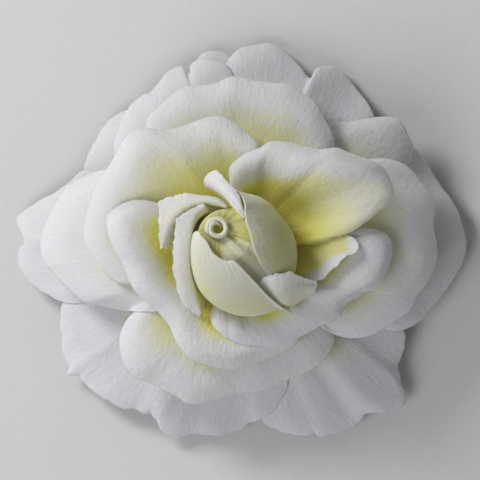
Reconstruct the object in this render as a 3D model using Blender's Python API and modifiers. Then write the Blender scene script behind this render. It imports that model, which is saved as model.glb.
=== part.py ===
"""Fabric rose hair clip: a double-lever metal clip carrying a full-blown fabric rose.

The rose faces +Z and the clip lies flat under it along X, its toothed tip towards -X.
All lengths are written in millimetres and scaled to metres when the meshes are made.
"""
import math

import bmesh
import bpy
import numpy as np
from mathutils import Matrix, Vector
from mathutils.bvhtree import BVHTree

MM = 0.001

# ---------------------------------------------------------------- driving dimensions
ROSE_EYE = (-6.09, 3.57)          # where the rolled centre of the rose stands
ROSE_AXIS = (-0.09, -2.43)        # axis of the stem the petals are glued to
PETAL_CLOTH = 0.40                # petal thickness
PETAL_GAP = 0.35                  # air left between one petal and the next

STEM_FOOT_Z = 12.0                # stem, from the felt up to the bud
STEM_TOP_Z = 27.0
STEM_FOOT_RADIUS = 10.6
STEM_TOP_RADIUS = 5.2
LOWEST_PETAL_Z = 14.1             # root of the lowest petal on the stem
PETAL_ROOT_STEP = 0.62            # rise from one petal root to the next
TOP_PETAL_ROOT = 6.2              # root radius of the innermost petal
PETAL_ROOT_SPREAD = 0.22          # growth of the root radius per petal outwards

BUD_MID = (6.5, -7.5)             # widest part of the bud, from the eye
BUD_RADIUS = 12.0
BUD_MID_Z = 34.0
BUD_UP = 15.5
BUD_DOWN = 7.0
CORE_OFFSET = -0.3                # bud core, inside the bud petals
CORE_TOP = 56.0                   # elevation of its flat top, where the eye stands
EYE_INNER = 1.3                   # rolled strip at the eye
EYE_OUTER = 3.1
EYE_TURNS = 1.75
EYE_HEIGHT = 3.2
EYE_CLOTH = 0.42
EYE_STEPS = 40

FELT_RADIUS = 14.5
FELT_Z = (10.2, 11.7)
GLUE_SIZE = (26.0, 8.0, 0.4)
GLUE_X = -6.0
GLUE_Z = 9.85

PIVOT = (10.0, 0.0, 6.0)          # hinge pin centre
SHEET_METAL = 0.8
UPPER_WIDTH = 9.6
LOWER_WIDTH = 7.2
UPPER_TIP_X = -33.0
LOWER_TIP_X = -34.0
TAIL_END_X = 25.0
UPPER_ARM_Z = 8.7                 # underside of the upper lever
UPPER_TAIL_RISE = 3.0
LOWER_PLATE_Z = 2.9               # underside of the lower lever
TOOTH_TOP_Z = 8.35
TOOTH_PITCH = 2.4
TOOTH_DEPTH = 1.1
PIN_RADIUS = 0.9
PIN_HOLE_RADIUS = 1.25
PIN_HALF = 5.5
EAR_RADIUS = 2.3
SPRING_RADIUS = 1.75
SPRING_WIRE = 0.3
SPRING_TURNS = 4.5
SPRING_HALF = 1.9
SPRING_LEG = 6.0

# ------------------------------------------------------------------------- petals
# Each ring petal: rim points (x, y from the eye, z) run anticlockwise or clockwise
# from one root corner to the other. `foot` and `lip` shape the curve from root to rim
# as (share of the run, rise). The list runs from the innermost petal outwards.
RING_PETALS = {
    "petal_inner_upper_right": dict(foot=(0.40, -0.5), lip=(0.30, 3.5), rim=[
        (3.5, 9.5, 26), (3, 13.5, 32), (4.5, 15.8, 33.5), (8, 18, 34), (11, 19.2, 34),
        (13, 20.4, 33.5), (15.5, 20.6, 33.5), (19, 19.7, 34), (22, 18.9, 34.5),
        (25.5, 18.5, 34.5), (29, 18.8, 34), (31, 18, 34), (35, 16.5, 33.5),
        (38.5, 15.2, 32.5), (40.5, 13.3, 31.5), (42.2, 10.3, 31), (42.6, 8, 31),
        (41.3, 5.8, 31), (38.5, 3.2, 31.5), (36, 1.2, 31.8), (33, -0.8, 31.8),
        (29, -2.3, 31.5), (24, -3.9, 29.5), (20.5, -4.6, 26)]),
    "petal_inner_right_small": dict(foot=(0.40, -1.5), lip=(0.30, 2), rim=[
        (29.5, -2.3, 30), (31.5, -2, 30.5),
        (33.6, -3.2, 30.8), (34.3, -5, 31), (33, -6.3, 31.5), (30.7, -7.8, 32),
        (28.8, -9.8, 32.5), (26, -11.8, 33), (23.5, -13.3, 33), (21, -15.2, 32),
        (17, -15.6, 27.6), (12, -12.6, 24.2)]),
    "petal_inner_lower_right": dict(foot=(0.40, -1.3), lip=(0.30, 5), rim=[
        (-1.5, -20.5, 27), (-1.2, -23, 30), (0.3, -25.2, 30.5), (2.3, -26.8, 30),
        (5, -27.6, 30), (8, -28.6, 29.5), (11, -28.4, 29.5), (13, -28.8, 29.5),
        (16.5, -28.5, 29.5), (20, -26.8, 30), (24, -24.5, 30.5), (28, -22.8, 30.5),
        (30.2, -21.3, 30.5), (30.7, -19, 31), (33, -17.2, 30.5), (36, -15.8, 29.5),
        (38.7, -14.5, 29), (41, -10.5, 28.5), (42.6, -6, 28), (42, -3, 28),
        (39.8, -1, 28), (36.5, -0.4, 28), (33, -1.5, 27.5), (22, -4, 24)]),
    "petal_inner_lower_left": dict(foot=(0.30, 3.0), lip=(0.30, 4), rim=[
        (-13.5, 5.5, 30.5), (-19, 6.4, 33), (-23, 5.2, 34.5), (-26, 2.8, 35),
        (-26.2, -0.5, 35), (-24.7, -5, 34.5), (-22.2, -9.5, 33.5), (-20.2, -14.5, 32.5),
        (-17.7, -17.3, 32), (-14.2, -20.3, 31.5), (-11.3, -24, 31), (-9.5, -28, 30),
        (-6.3, -31.6, 29), (-2, -33.4, 28.5), (3, -34.4, 28), (6.5, -33.7, 28),
        (10, -32.4, 28), (15, -30.5, 28), (20, -27, 28.5), (18, -18, 25.5)]),
    "petal_inner_upper_left": dict(foot=(0.30, 3.0), lip=(0.25, 1), rim=[
        (-20, -13.5, 26.5), (-23.5, -13.4, 26.5), (-26.5, -11, 27),
        (-30, -7, 27.5), (-32, -2.5, 28), (-31.6, 1, 28.5), (-30.5, 5.5, 29.5),
        (-28.5, 11, 30.5), (-25.5, 15, 31.5), (-23.5, 19, 32), (-21, 22.3, 32),
        (-17, 23.7, 31.5), (-12, 23.2, 31), (-7, 24.6, 30.5), (-2.5, 26.2, 30.5),
        (0.5, 26.6, 30.5), (3.5, 25.5, 31), (7, 22.7, 31.5), (10.5, 19, 31.5), (11, 8, 26.5)]),
    "petal_middle_left": dict(foot=(0.38, 2.5), lip=(0.35, 6.5), rim=[
        (-22, 14.5, 23), (-28, 13.7, 22), (-32, 12.5, 20.5),
        (-36, 10.3, 19), (-38.5, 7.5, 18), (-41, 2.5, 17), (-42.7, -2, 16.5),
        (-43, -5, 16.5), (-42, -8.7, 17), (-39, -12, 18), (-35.5, -15.5, 19),
        (-32, -18.3, 20), (-28, -19.2, 20.5), (-22, -20.3, 21), (-15, -20.5, 22)]),
    "petal_middle_top": dict(foot=(0.38, 2.5), lip=(0.35, 6.5), rim=[
        (-8, 9, 23.5), (-17, 22, 23), (-16.5, 26.5, 22), (-13.5, 29.7, 21),
        (-8.5, 33.7, 19.5), (-4, 34.4, 19), (0, 35, 18.5), (3.5, 36.6, 17.5), (7, 36.1, 17.5),
        (12, 35.1, 18), (17, 34.8, 18), (20.5, 32.8, 18.5), (24, 30.3, 19),
        (26, 26.5, 20), (28.2, 21.5, 21), (27.5, 16, 22.5), (18, 5, 23)]),
    "petal_middle_right": dict(foot=(0.38, 2.5), lip=(0.35, 6.5), rim=[
        (18, 5, 22.5), (30, 13.5, 23), (37, 16.3, 22.5), (42, 16.3, 21), (46, 14.8, 20),
        (50, 10.6, 19.5), (52.3, 7.5, 19.5), (53, 4.5, 20), (52.5, 0.5, 20.5),
        (53.3, -4, 20), (53.4, -8, 20), (51.5, -13, 20.5), (48.3, -17, 21),
        (47, -20, 20.5), (43, -23, 20.5), (38, -26, 20), (33, -27, 20), (29, -26.2, 20.5),
        (25, -24, 21.5), (16, -16, 22.5)]),
    "petal_middle_bottom": dict(foot=(0.38, 2.5), lip=(0.35, 6.5), rim=[
        (-18, -19, 21.5), (-22, -23, 22), (-23.5, -27, 21.5),
        (-23.2, -31, 21), (-22, -34, 20.5), (-19.5, -36.8, 20), (-16, -37.8, 20),
        (-13, -39.6, 19.5), (-10, -41, 19), (-7, -43, 18), (-4, -42.9, 18),
        (0, -41.7, 18.5), (5, -40.2, 19), (10, -39.9, 19), (15, -37.9, 19),
        (20, -36, 19), (25, -33.3, 19), (27.5, -30, 19), (28.4, -26.5, 19.3),
        (19, -16, 21.5)]),
    "petal_outer_right_upper": dict(foot=(0.42, 1.5), lip=(0.38, 6.0), rim=[
        (12, 5, 19), (22, 19, 16.5), (27, 25, 14.5), (32, 25.5, 13.5), (38, 26.6, 12),
        (41.5, 27, 11), (44.5, 26.2, 10.5), (46.5, 23, 10.5), (48, 19.5, 10.5),
        (46, 14, 12), (34, 4, 15.5), (18, -2, 18)]),
    "petal_outer_top_left": dict(foot=(0.42, 1.5), lip=(0.38, 6.0), rim=[
        (-20, 10, 15.5), (-25.3, 17, 13), (-24.7, 22, 11.5), (-22.3, 28, 9.5),
        (-20, 31, 8.5), (-15, 35, 8), (-10.8, 38.9, 7.5), (-8.5, 39.3, 8), (-7.3, 38, 8.5),
        (-6, 40.6, 7.5), (-2, 41, 7.5), (1.5, 40.2, 8), (4, 37.3, 9.5), (6, 24, 14.5),
        (8, 6, 18)]),
    "petal_outer_top": dict(foot=(0.42, 1.5), lip=(0.38, 6.0), rim=[
        (3, 6, 17), (2, 24, 12.5), (1.5, 36, 8), (2.5, 40.3, 6), (5, 43.5, 5),
        (9, 44.7, 4.5), (13, 45.1, 4), (17, 43, 4.5), (20.5, 39.3, 6), (23, 37.3, 6.5),
        (24, 38.7, 6.5), (28.5, 39.6, 4.5), (32, 37, 4), (35, 33, 4.5), (37.5, 29.5, 5.5),
        (38.6, 26.5, 6.5), (30, 14, 11.5), (16, 0, 16)]),
    "petal_outer_right": dict(foot=(0.42, 1.5), lip=(0.38, 6.0), rim=[
        (16, 2, 16.5), (32, 14, 13), (42, 20, 9.5), (48, 19.6, 8), (52, 14.5, 7),
        (55, 10, 6.5), (58.3, 5.5, 6), (60.3, 0, 5.5), (61.2, -4.5, 5.5), (60.2, -9, 5.5),
        (56.5, -15, 6.5), (52.5, -20, 7.5), (49.5, -23.3, 8.5), (45.5, -25.1, 9.5),
        (38, -24, 11), (18, -13, 16)]),
    "petal_outer_left": dict(foot=(0.42, 1.5), lip=(0.38, 6.0), rim=[
        (-22, 11, 12.5), (-28, 13.3, 11), (-33, 13.7, 9.5), (-36, 11.2, 8.5),
        (-40, 8.4, 7), (-45, 5.7, 6), (-49.3, 1.8, 4.5), (-47.8, -2.5, 6),
        (-49, -6.5, 4.5), (-48.3, -10.5, 4.5), (-45, -14.5, 5.5), (-41, -17, 7),
        (-37, -18.6, 8), (-26, -17, 12), (-5, -11, 16)]),
    "petal_outer_left_upper": dict(foot=(0.42, 1.5), lip=(0.38, 6.0), rim=[
        (-30, 9.5, 8.5), (-32.5, 14, 6.5), (-31.5, 18, 5.5),
        (-30, 21, 5), (-28, 24.5, 4.5), (-25, 27.5, 4.5), (-22, 28.8, 5),
        (-17, 27.5, 7.5), (-11, 24, 10)]),
    "petal_outer_bottom_left": dict(foot=(0.42, 1.5), lip=(0.38, 6.0), rim=[
        (-32, -16.5, 8.5), (-37.5, -18.3, 7),
        (-38.7, -23, 6), (-38, -27, 6), (-38.3, -30, 5.5), (-36.8, -33, 5.5),
        (-37, -35.8, 5), (-35, -37, 5), (-31, -39.5, 5), (-28, -42, 5), (-24.5, -44.3, 5),
        (-20.5, -44.5, 6), (-18, -46, 6.5), (-15, -47.5, 6.5), (-13, -50.5, 4.5),
        (-11, -52.1, 3.5), (-6, -51.2, 3), (0, -51.2, 3), (5, -50.2, 3.5), (10, -48, 4.5),
        (14, -45, 5.5), (16.5, -41, 7), (17.5, -36, 9), (14, -16, 14.5)]),
    "petal_outer_bottom_right": dict(foot=(0.42, 1.5), lip=(0.38, 6.0), rim=[
        (10, -44, 6.5), (11, -47.3, 5), (13, -49, 4.5),
        (18, -50.5, 4), (24, -51.3, 3.5), (27, -51.2, 4), (31, -50, 4), (34.5, -48.7, 3.5),
        (38, -45.5, 5.5), (43, -45, 4.5), (46.7, -42.2, 4), (45.3, -38, 5.5),
        (44.3, -34, 6), (45.8, -30, 6), (45, -24, 7.5), (34, -15, 11)]),
    "petal_outer_top_back": dict(foot=(0.42, 1.5), lip=(0.38, 6.0), rim=[
        (0, 4, 14), (-7, 20, 10), (-8, 34, 6.5), (-5, 41, 4), (-3, 43, 3.5), (0, 43.3, 3),
        (3, 42.3, 3), (7, 39, 4), (10, 28, 8), (10, 5, 14)]),
}

# Bud petals wrap the leaning egg. Each station along the top edge is
# (azimuth, elevation on the egg, distance off it, flare outwards, flare upwards).
BUD_PETALS = {
    "bud_petal_front": [
        (165, -20, 0.7, 0, 0), (172, 58, 0.7, 0, 0), (200, 70, 0.9, 0, 0),
        (228, 72, 1.1, 0, 0), (255, 66, 1.5, 0, 0), (278, 62, 2.0, 0, 0),
        (296, 60, 2.4, 0.3, 0), (302, 46, 2.6, 0.8, 0), (304, 34, 2.8, 1, 0),
        (307, 22, 2.9, 1.5, 0), (311, 4, 3.0, 2.5, 0), (313, -25, 3.0, 1, 0)],
    "bud_petal_low": [
        (255, -30, 0.8, 0, 0), (285, 10, 0.9, 0, 0), (309, 41, 1.3, 0, 0),
        (322, 34, 1.5, 0, 0), (336, 28, 1.6, 0.2, 0), (343, 14, 1.7, 1.2, 0),
        (347, 5, 1.8, 3.5, 0), (353, -20, 1.8, 2, 0)],
    "bud_petal_right": [
        (-44, -25, 0.7, 0, 0), (-42, 20, 0.7, 0, 0), (-39, 40, 0.7, 0, 0),
        (-30, 50, 0.7, 0, 0), (-20, 56, 0.7, 0, 0), (-8, 59, 0.7, 0, 0), (8, 61, 0.8, 0, 0),
        (22, 62, 1.0, 0, 0), (38, 60, 1.2, 0, 0), (52, 56, 1.6, 0, 0), (64, 50, 2.4, 0, 0),
        (74, 44, 3.0, 0, 0), (84, 36, 3.3, 0.5, 0), (93, 26, 3.5, 1, 0),
        (100, 10, 3.6, 1, 0), (104, -20, 3.6, 0, 0)],
    "bud_petal_upper_left": [
        (64, -20, 0.7, 0, 0), (71, 62, 0.8, 0, 0), (82, 62, 1.3, 0, 0),
        (95, 60, 1.8, 0.5, 0), (108, 58, 2.1, 1.5, 0.3), (122, 54, 2.2, 4, 0.3),
        (134, 50, 2.2, 6.2, 0), (146, 46, 2.3, 7.8, -1), (156, 38, 2.4, 6.5, -1.5),
        (168, 26, 2.6, 4.5, -1.5), (180, 8, 2.8, 2.5, -1), (192, -20, 2.9, 1, 0)],
    "bud_petal_left": [
        (98, -20, 0.7, 0, 0), (105, 60, 0.7, 0, 0), (120, 58, 0.8, 0.8, 0.2),
        (134, 54, 1.0, 2, 0.3), (150, 48, 1.3, 3.4, 0.2), (170, 42, 1.6, 3.8, 0),
        (188, 34, 1.9, 3.4, 0), (208, 20, 2.3, 2.6, 0), (225, 5, 2.6, 2, 0),
        (238, -25, 3.0, 0.6, 0)],
}
BUD_PETAL_ROOT = -34.0            # elevation of the bud petals' lower edge


# ------------------------------------------------------------------------ scene set-up
for old in list(bpy.data.objects):
    bpy.data.objects.remove(old, do_unlink=True)

scene = bpy.context.scene
clip_parts = bpy.data.collections.new("flower_hair_clip")
cutters = bpy.data.collections.new("cutters")
scene.collection.children.link(clip_parts)
scene.collection.children.link(cutters)


def make_material(name, colour, roughness, metallic=0.0):
    """Principled material with plain values."""
    material = bpy.data.materials.new(name)
    material.use_nodes = True
    shader = material.node_tree.nodes["Principled BSDF"]
    shader.inputs["Base Color"].default_value = (*colour, 1.0)
    shader.inputs["Roughness"].default_value = roughness
    shader.inputs["Metallic"].default_value = metallic
    material.diffuse_color = (*colour, 1.0)
    return material


PETAL_WHITE = make_material("petal_white", (0.86, 0.86, 0.84), 0.75)
PETAL_IVORY = make_material("petal_ivory", (0.84, 0.83, 0.68), 0.75)
BUD_YELLOW = make_material("bud_yellow", (0.74, 0.72, 0.38), 0.75)
STEM_GREEN = make_material("stem_green", (0.42, 0.46, 0.20), 0.6)
FELT_WHITE = make_material("felt_white", (0.80, 0.79, 0.76), 0.95)
GLUE_CLEAR = make_material("glue_clear", (0.78, 0.74, 0.62), 0.35)
CLIP_STEEL = make_material("clip_steel", (0.62, 0.63, 0.65), 0.3, 1.0)
SPRING_STEEL = make_material("spring_steel", (0.45, 0.46, 0.48), 0.35, 1.0)


def add_object(name, mesh, material, collection=clip_parts):
    """Link a mesh as a named object with its own copy of a material."""
    thing = bpy.data.objects.new(name, mesh)
    collection.objects.link(thing)
    own = material.copy()
    own.name = name + "_material"
    mesh.materials.append(own)
    return thing


def finish_mesh(name, vertices, faces):
    """Mesh in metres from millimetre vertices."""
    mesh = bpy.data.meshes.new(name)
    mesh.from_pydata([tuple(MM * c for c in v) for v in vertices], [], faces)
    mesh.update()
    return mesh


def shade_smooth(thing, angle=40.0):
    """Smooth shading that keeps the hard corners."""
    for face in thing.data.polygons:
        face.use_smooth = True
    thing.data.set_sharp_from_angle(angle=math.radians(angle))


# ------------------------------------------------------------------------- petal shape
def spline(points, count):
    """Catmull-Rom curve through points, resampled to even steps in plan."""
    p = np.array(points, float)
    chord = np.linalg.norm(np.diff(p[:, :2], axis=0), axis=1) + 1e-6
    knot = np.concatenate([[0.0], np.cumsum(np.sqrt(chord))])
    length = np.concatenate([[0.0], np.cumsum(chord)])
    where = np.interp(np.linspace(0.0, length[-1], count), length, knot)
    ends = np.vstack([2 * p[0] - p[1], p, 2 * p[-1] - p[-2]])
    first = knot[0] - (knot[1] - knot[0])
    last = 2 * knot[-1] - knot[-2]
    k = np.concatenate([[first], knot, [last]])
    result = []
    for t in where:
        i = int(min(max(np.searchsorted(k, t, "right") - 1, 1), len(k) - 3))
        t0, t1, t2, t3 = k[i - 1:i + 3]
        p0, p1, p2, p3 = ends[i - 1:i + 3]
        a1 = ((t1 - t) * p0 + (t - t0) * p1) / (t1 - t0)
        a2 = ((t2 - t) * p1 + (t - t1) * p2) / (t2 - t1)
        a3 = ((t3 - t) * p2 + (t - t2) * p3) / (t3 - t2)
        b1 = ((t2 - t) * a1 + (t - t0) * a2) / (t2 - t0)
        b2 = ((t3 - t) * a2 + (t - t1) * a3) / (t3 - t1)
        result.append(((t2 - t) * b1 + (t - t1) * b2) / (t2 - t1))
    return np.array(result)


def ring_petal(petal, root_z, root_radius, across, along):
    """Grid of points, root to rim, each line of it a cubic curve off the stem."""
    axis = np.array(ROSE_AXIS)
    rim = spline(petal["rim"], across)
    rim[:, :2] += ROSE_EYE
    bearing = np.unwrap(np.arctan2(rim[:, 1] - axis[1], rim[:, 0] - axis[0]))
    bearing = np.linspace(bearing[0], bearing[-1], across)
    root = np.column_stack([axis[0] + root_radius * np.cos(bearing),
                            axis[1] + root_radius * np.sin(bearing),
                            np.full(across, root_z)])
    out = rim - root
    out[:, 2] = 0.0
    run = np.linalg.norm(out, axis=1)[:, None]
    out /= run
    share = run / run.max()
    up = np.array([0.0, 0.0, 1.0])
    foot_run, foot_rise = petal["foot"]
    lip_run, lip_rise = petal["lip"]
    p1 = root + out * foot_run * run + up * foot_rise * share
    p2 = rim - out * lip_run * run + up * lip_rise * share
    t = np.linspace(0.0, 1.0, along)[:, None, None]
    s = 1.0 - t
    return s ** 3 * root + 3 * t * s ** 2 * p1 + 3 * t * t * s * p2 + t ** 3 * rim


def bud_point(azimuth, elevation, offset):
    """Point of the leaning egg that the bud petals wrap; angles in degrees."""
    a = np.radians(azimuth)
    e = np.radians(elevation)
    lean = np.sin(e) ** 2
    mid = np.array(BUD_MID)
    top = np.array((0.0, 0.0))
    low = np.array(ROSE_AXIS) - np.array(ROSE_EYE)
    end = np.where((e > 0)[..., None], top, low)
    centre = mid + (end - mid) * lean[..., None]
    tall = np.where(e > 0, BUD_UP, BUD_DOWN)
    flat = BUD_RADIUS * np.cos(e) + offset * np.cos(e)
    x = ROSE_EYE[0] + centre[..., 0] + flat * np.cos(a)
    y = ROSE_EYE[1] + centre[..., 1] + flat * np.sin(a)
    z = BUD_MID_Z + (tall + offset) * np.sin(e)
    return np.stack([x, y, z], -1)


def bud_petal(stations, across, along):
    """Grid of points of a petal wrapping the bud, root to top edge."""
    st = np.array(stations, float)
    line = spline(np.column_stack([st[:, 0], st[:, 1] * 0.5, st[:, 1:]]), across)
    top = np.maximum(line[:, 2], BUD_PETAL_ROOT + 6.0)
    t = np.linspace(0.0, 1.0, along)[:, None]
    elevation = BUD_PETAL_ROOT + (top - BUD_PETAL_ROOT) * t
    azimuth = np.broadcast_to(line[:, 0], elevation.shape)
    grid = bud_point(azimuth, elevation, np.broadcast_to(line[:, 3], elevation.shape))
    opening = np.clip((t - 0.55) / 0.45, 0.0, 1.0) ** 2
    angle = np.radians(azimuth)
    grid[..., 0] += opening * line[:, 4] * np.cos(angle)
    grid[..., 1] += opening * line[:, 4] * np.sin(angle)
    grid[..., 2] += opening * line[:, 5]
    return grid


def grid_faces(rows, columns):
    """Quads of a rows x columns grid."""
    return [(r * columns + c, r * columns + c + 1, (r + 1) * columns + c + 1, (r + 1) * columns + c)
            for r in range(rows - 1) for c in range(columns - 1)]


def between(grid, parts):
    """Grid points with extra ones between them, and where each lies in the grid."""
    rows, columns = grid.shape[:2]
    r = np.arange((rows - 1) * parts + 1) / parts
    c = np.arange((columns - 1) * parts + 1) / parts
    r0 = np.minimum(r.astype(int), rows - 2)
    c0 = np.minimum(c.astype(int), columns - 2)
    fr = (r - r0)[:, None, None]
    fc = (c - c0)[None, :, None]
    a = grid[r0][:, c0]
    b = grid[r0][:, c0 + 1]
    d = grid[r0 + 1][:, c0]
    e = grid[r0 + 1][:, c0 + 1]
    fine = (a * (1 - fc) + b * fc) * (1 - fr) + (d * (1 - fc) + e * fc) * fr
    return fine, r0, c0


def rest_on(grid, tree, edges, clearance):
    """Lift a petal smoothly until it clears everything underneath it."""
    grid = grid.copy()
    for _ in range(8):
        need = np.zeros(grid.shape[:2])
        fine, r0, c0 = between(grid, 3)
        for i in range(fine.shape[0]):
            for j in range(fine.shape[1]):
                x, y, z = fine[i, j]
                hit, normal, _, _ = tree.ray_cast(Vector((x, y, 120.0)), Vector((0, 0, -1)))
                if hit is None:
                    continue
                short = hit.z + clearance / max(abs(normal.z), 0.35) - z
                if short > 0:
                    cell = need[r0[i]:r0[i] + 2, c0[j]:c0[j] + 2]
                    np.maximum(cell, short, out=cell)
        columns = grid.shape[1]
        faces = grid_faces(*grid.shape[:2])
        own = BVHTree.FromPolygons([tuple(map(float, v)) for v in grid.reshape(-1, 3)], faces)
        for x, y, z in edges:
            hit, normal, face, _ = own.ray_cast(Vector((x, y, 120.0)), Vector((0, 0, -1)))
            if hit is None:
                continue
            short = z + clearance / max(abs(normal.z), 0.35) - hit.z
            if short > 0:
                i, j = divmod(face, columns - 1)
                cell = need[i:i + 2, j:j + 2]
                np.maximum(cell, short, out=cell)
        if need.max() < 0.02:
            break
        soft = need.copy()
        for _ in range(4):
            wide = np.pad(soft, 1, mode="edge")
            mean = (wide[:-2, 1:-1] + wide[2:, 1:-1] + wide[1:-1, :-2] + wide[1:-1, 2:]
                    + 2 * soft) / 6.0
            soft = np.maximum(mean, need)
        grid[..., 2] += soft
    return grid


def petal_object(name, grid, material):
    """Cloth petal: the grid of points given a thickness."""
    rows, columns = grid.shape[:2]
    mesh = finish_mesh(name, grid.reshape(-1, 3), grid_faces(rows, columns))
    petal = add_object(name, mesh, material)
    cloth = petal.modifiers.new("cloth", "SOLIDIFY")
    cloth.thickness = PETAL_CLOTH * MM
    cloth.offset = 0.0
    shade_smooth(petal, 60.0)
    return petal


# What the petals rest on: the felt, the clip's arm and the clip's tail.
pile_points = [(ROSE_AXIS[0] + (FELT_RADIUS + 1) * math.cos(math.pi * i / 12),
                ROSE_AXIS[1] + (FELT_RADIUS + 1) * math.sin(math.pi * i / 12), FELT_Z[1])
               for i in range(24)]
pile_faces = [tuple(range(24))]
for x_low, x_high, z_low, z_high in [(-36, 9, 9.6, 9.6), (9, 27, 9.8, 13.4)]:
    start = len(pile_points)
    pile_points += [(x_low, -6, z_low), (x_high, -6, z_high), (x_high, 6, z_high), (x_low, 6, z_low)]
    pile_faces.append(tuple(range(start, start + 4)))
pile_edges = []
petal_names = list(RING_PETALS)
for rank in reversed(range(len(petal_names))):
    petal_name = petal_names[rank]
    shape = RING_PETALS[petal_name]
    rim_length = sum(math.dist(a, b) for a, b in zip(shape["rim"], shape["rim"][1:]))
    across = max(12, int(rim_length / 7.5))
    root_z = LOWEST_PETAL_Z + PETAL_ROOT_STEP * (len(petal_names) - 1 - rank)
    sheet = ring_petal(shape, root_z, TOP_PETAL_ROOT + PETAL_ROOT_SPREAD * rank, across, 8)
    pile = BVHTree.FromPolygons(pile_points, pile_faces)
    sheet = rest_on(sheet, pile, pile_edges, PETAL_CLOTH + PETAL_GAP)
    tone = PETAL_IVORY if "inner" in petal_name else PETAL_WHITE
    petal_object(petal_name, sheet, tone)
    start = len(pile_points)
    pile_points += [tuple(map(float, v)) for v in sheet.reshape(-1, 3)]
    pile_faces += [tuple(start + v for v in face) for face in grid_faces(*sheet.shape[:2])]
    dense = between(sheet, 4)[0]
    pile_edges += list(dense[-1]) + list(dense[:, 0]) + list(dense[:, -1])
    pile_edges += list(sheet.reshape(-1, 3))

for petal_name, stations in BUD_PETALS.items():
    petal_object(petal_name, bud_petal(stations, 14, 8), PETAL_IVORY)


# ------------------------------------------------------------------ bud core and eye
core_rings = []
for elevation in [-60, -45, -30, -15, 0, 12, 24, 35, 46, CORE_TOP]:
    turn = np.arange(28) * 360.0 / 28
    core_rings.append(bud_point(turn, np.full(28, float(elevation)), np.full(28, CORE_OFFSET)))
core_points = np.concatenate(core_rings)
core_faces = [(r * 28 + c, r * 28 + (c + 1) % 28, (r + 1) * 28 + (c + 1) % 28, (r + 1) * 28 + c)
              for r in range(len(core_rings) - 1) for c in range(28)]
core_faces.append(tuple(reversed(range(28))))
core_faces.append(tuple(len(core_points) - 28 + c for c in range(28)))
bud_core = add_object("bud_core", finish_mesh("bud_core", core_points, core_faces), BUD_YELLOW)
shade_smooth(bud_core)
CORE_TOP_Z = float(core_points[-1][2])

eye_grid = []
for level in range(5):
    lift = level / 4.0
    row = []
    for step in range(EYE_STEPS):
        along = step / (EYE_STEPS - 1)
        angle = 2 * math.pi * EYE_TURNS * along
        radius = EYE_INNER + (EYE_OUTER - EYE_INNER) * along + 0.15 * lift ** 3
        row.append((ROSE_EYE[0] + 0.3 + radius * math.cos(angle),
                    ROSE_EYE[1] - 0.4 + radius * math.sin(angle),
                    CORE_TOP_Z + 0.35 + EYE_HEIGHT * lift))
    eye_grid.append(row)
eye_mesh = finish_mesh("bud_rolled_eye", [v for row in eye_grid for v in row],
                       grid_faces(5, EYE_STEPS))
bud_eye = add_object("bud_rolled_eye", eye_mesh, PETAL_WHITE)
roll = bud_eye.modifiers.new("cloth", "SOLIDIFY")
roll.thickness = EYE_CLOTH * MM
roll.offset = 0.0
shade_smooth(bud_eye, 60.0)


# ------------------------------------------------------------- stem, felt and glue
def turned(name, profile, centre, material, steps=32):
    """Solid of revolution: a profile swept by the Screw modifier."""
    points = [(radius, 0.0, z) for radius, z in profile]
    edges = [(i, i + 1) for i in range(len(points) - 1)]
    mesh = bpy.data.meshes.new(name)
    mesh.from_pydata([tuple(MM * c for c in v) for v in points], edges, [])
    thing = add_object(name, mesh, material)
    thing.location = (centre[0] * MM, centre[1] * MM, 0.0)
    screw = thing.modifiers.new("turn", "SCREW")
    screw.steps = steps
    screw.render_steps = steps
    screw.use_merge_vertices = True
    screw.merge_threshold = 0.00005
    return thing


stem_profile = [(0.0, STEM_TOP_Z), (STEM_TOP_RADIUS - 0.6, STEM_TOP_Z),
                (STEM_TOP_RADIUS, STEM_TOP_Z - 0.6), (STEM_TOP_RADIUS, 24.6),
                (8.2, 15.0), (8.6, 13.4), (STEM_FOOT_RADIUS, 12.6),
                (STEM_FOOT_RADIUS, STEM_FOOT_Z), (0.0, STEM_FOOT_Z)]
rose_stem = turned("rose_stem", stem_profile, ROSE_AXIS, STEM_GREEN)
shade_smooth(rose_stem)

felt_profile = [(0.0, FELT_Z[1]), (FELT_RADIUS - 0.4, FELT_Z[1]),
                (FELT_RADIUS, FELT_Z[1] - 0.4), (FELT_RADIUS, FELT_Z[0] + 0.4),
                (FELT_RADIUS - 0.4, FELT_Z[0]), (0.0, FELT_Z[0])]
felt_disc = turned("felt_disc", felt_profile, ROSE_AXIS, FELT_WHITE, 40)
shade_smooth(felt_disc)


def box(name, size, centre, material=None):
    """Rectangular block; a cutter when it has no material."""
    mesh = bpy.data.meshes.new(name)
    block = bmesh.new()
    bmesh.ops.create_cube(block, size=1.0)
    bmesh.ops.scale(block, vec=Vector([MM * c for c in size]), verts=block.verts)
    bmesh.ops.translate(block, vec=Vector([MM * c for c in centre]), verts=block.verts)
    block.to_mesh(mesh)
    block.free()
    return add_object(name, mesh, material)


def bevel(thing, width, segments=2):
    """Rounded edges."""
    edge = thing.modifiers.new("edges", "BEVEL")
    edge.width = width * MM
    edge.segments = segments
    edge.limit_method = "ANGLE"
    edge.angle_limit = math.radians(35)
    return edge


glue_pad = box("glue_pad", GLUE_SIZE, (GLUE_X, 0.0, GLUE_Z), GLUE_CLEAR)
bevel(glue_pad, 0.15)


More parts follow.
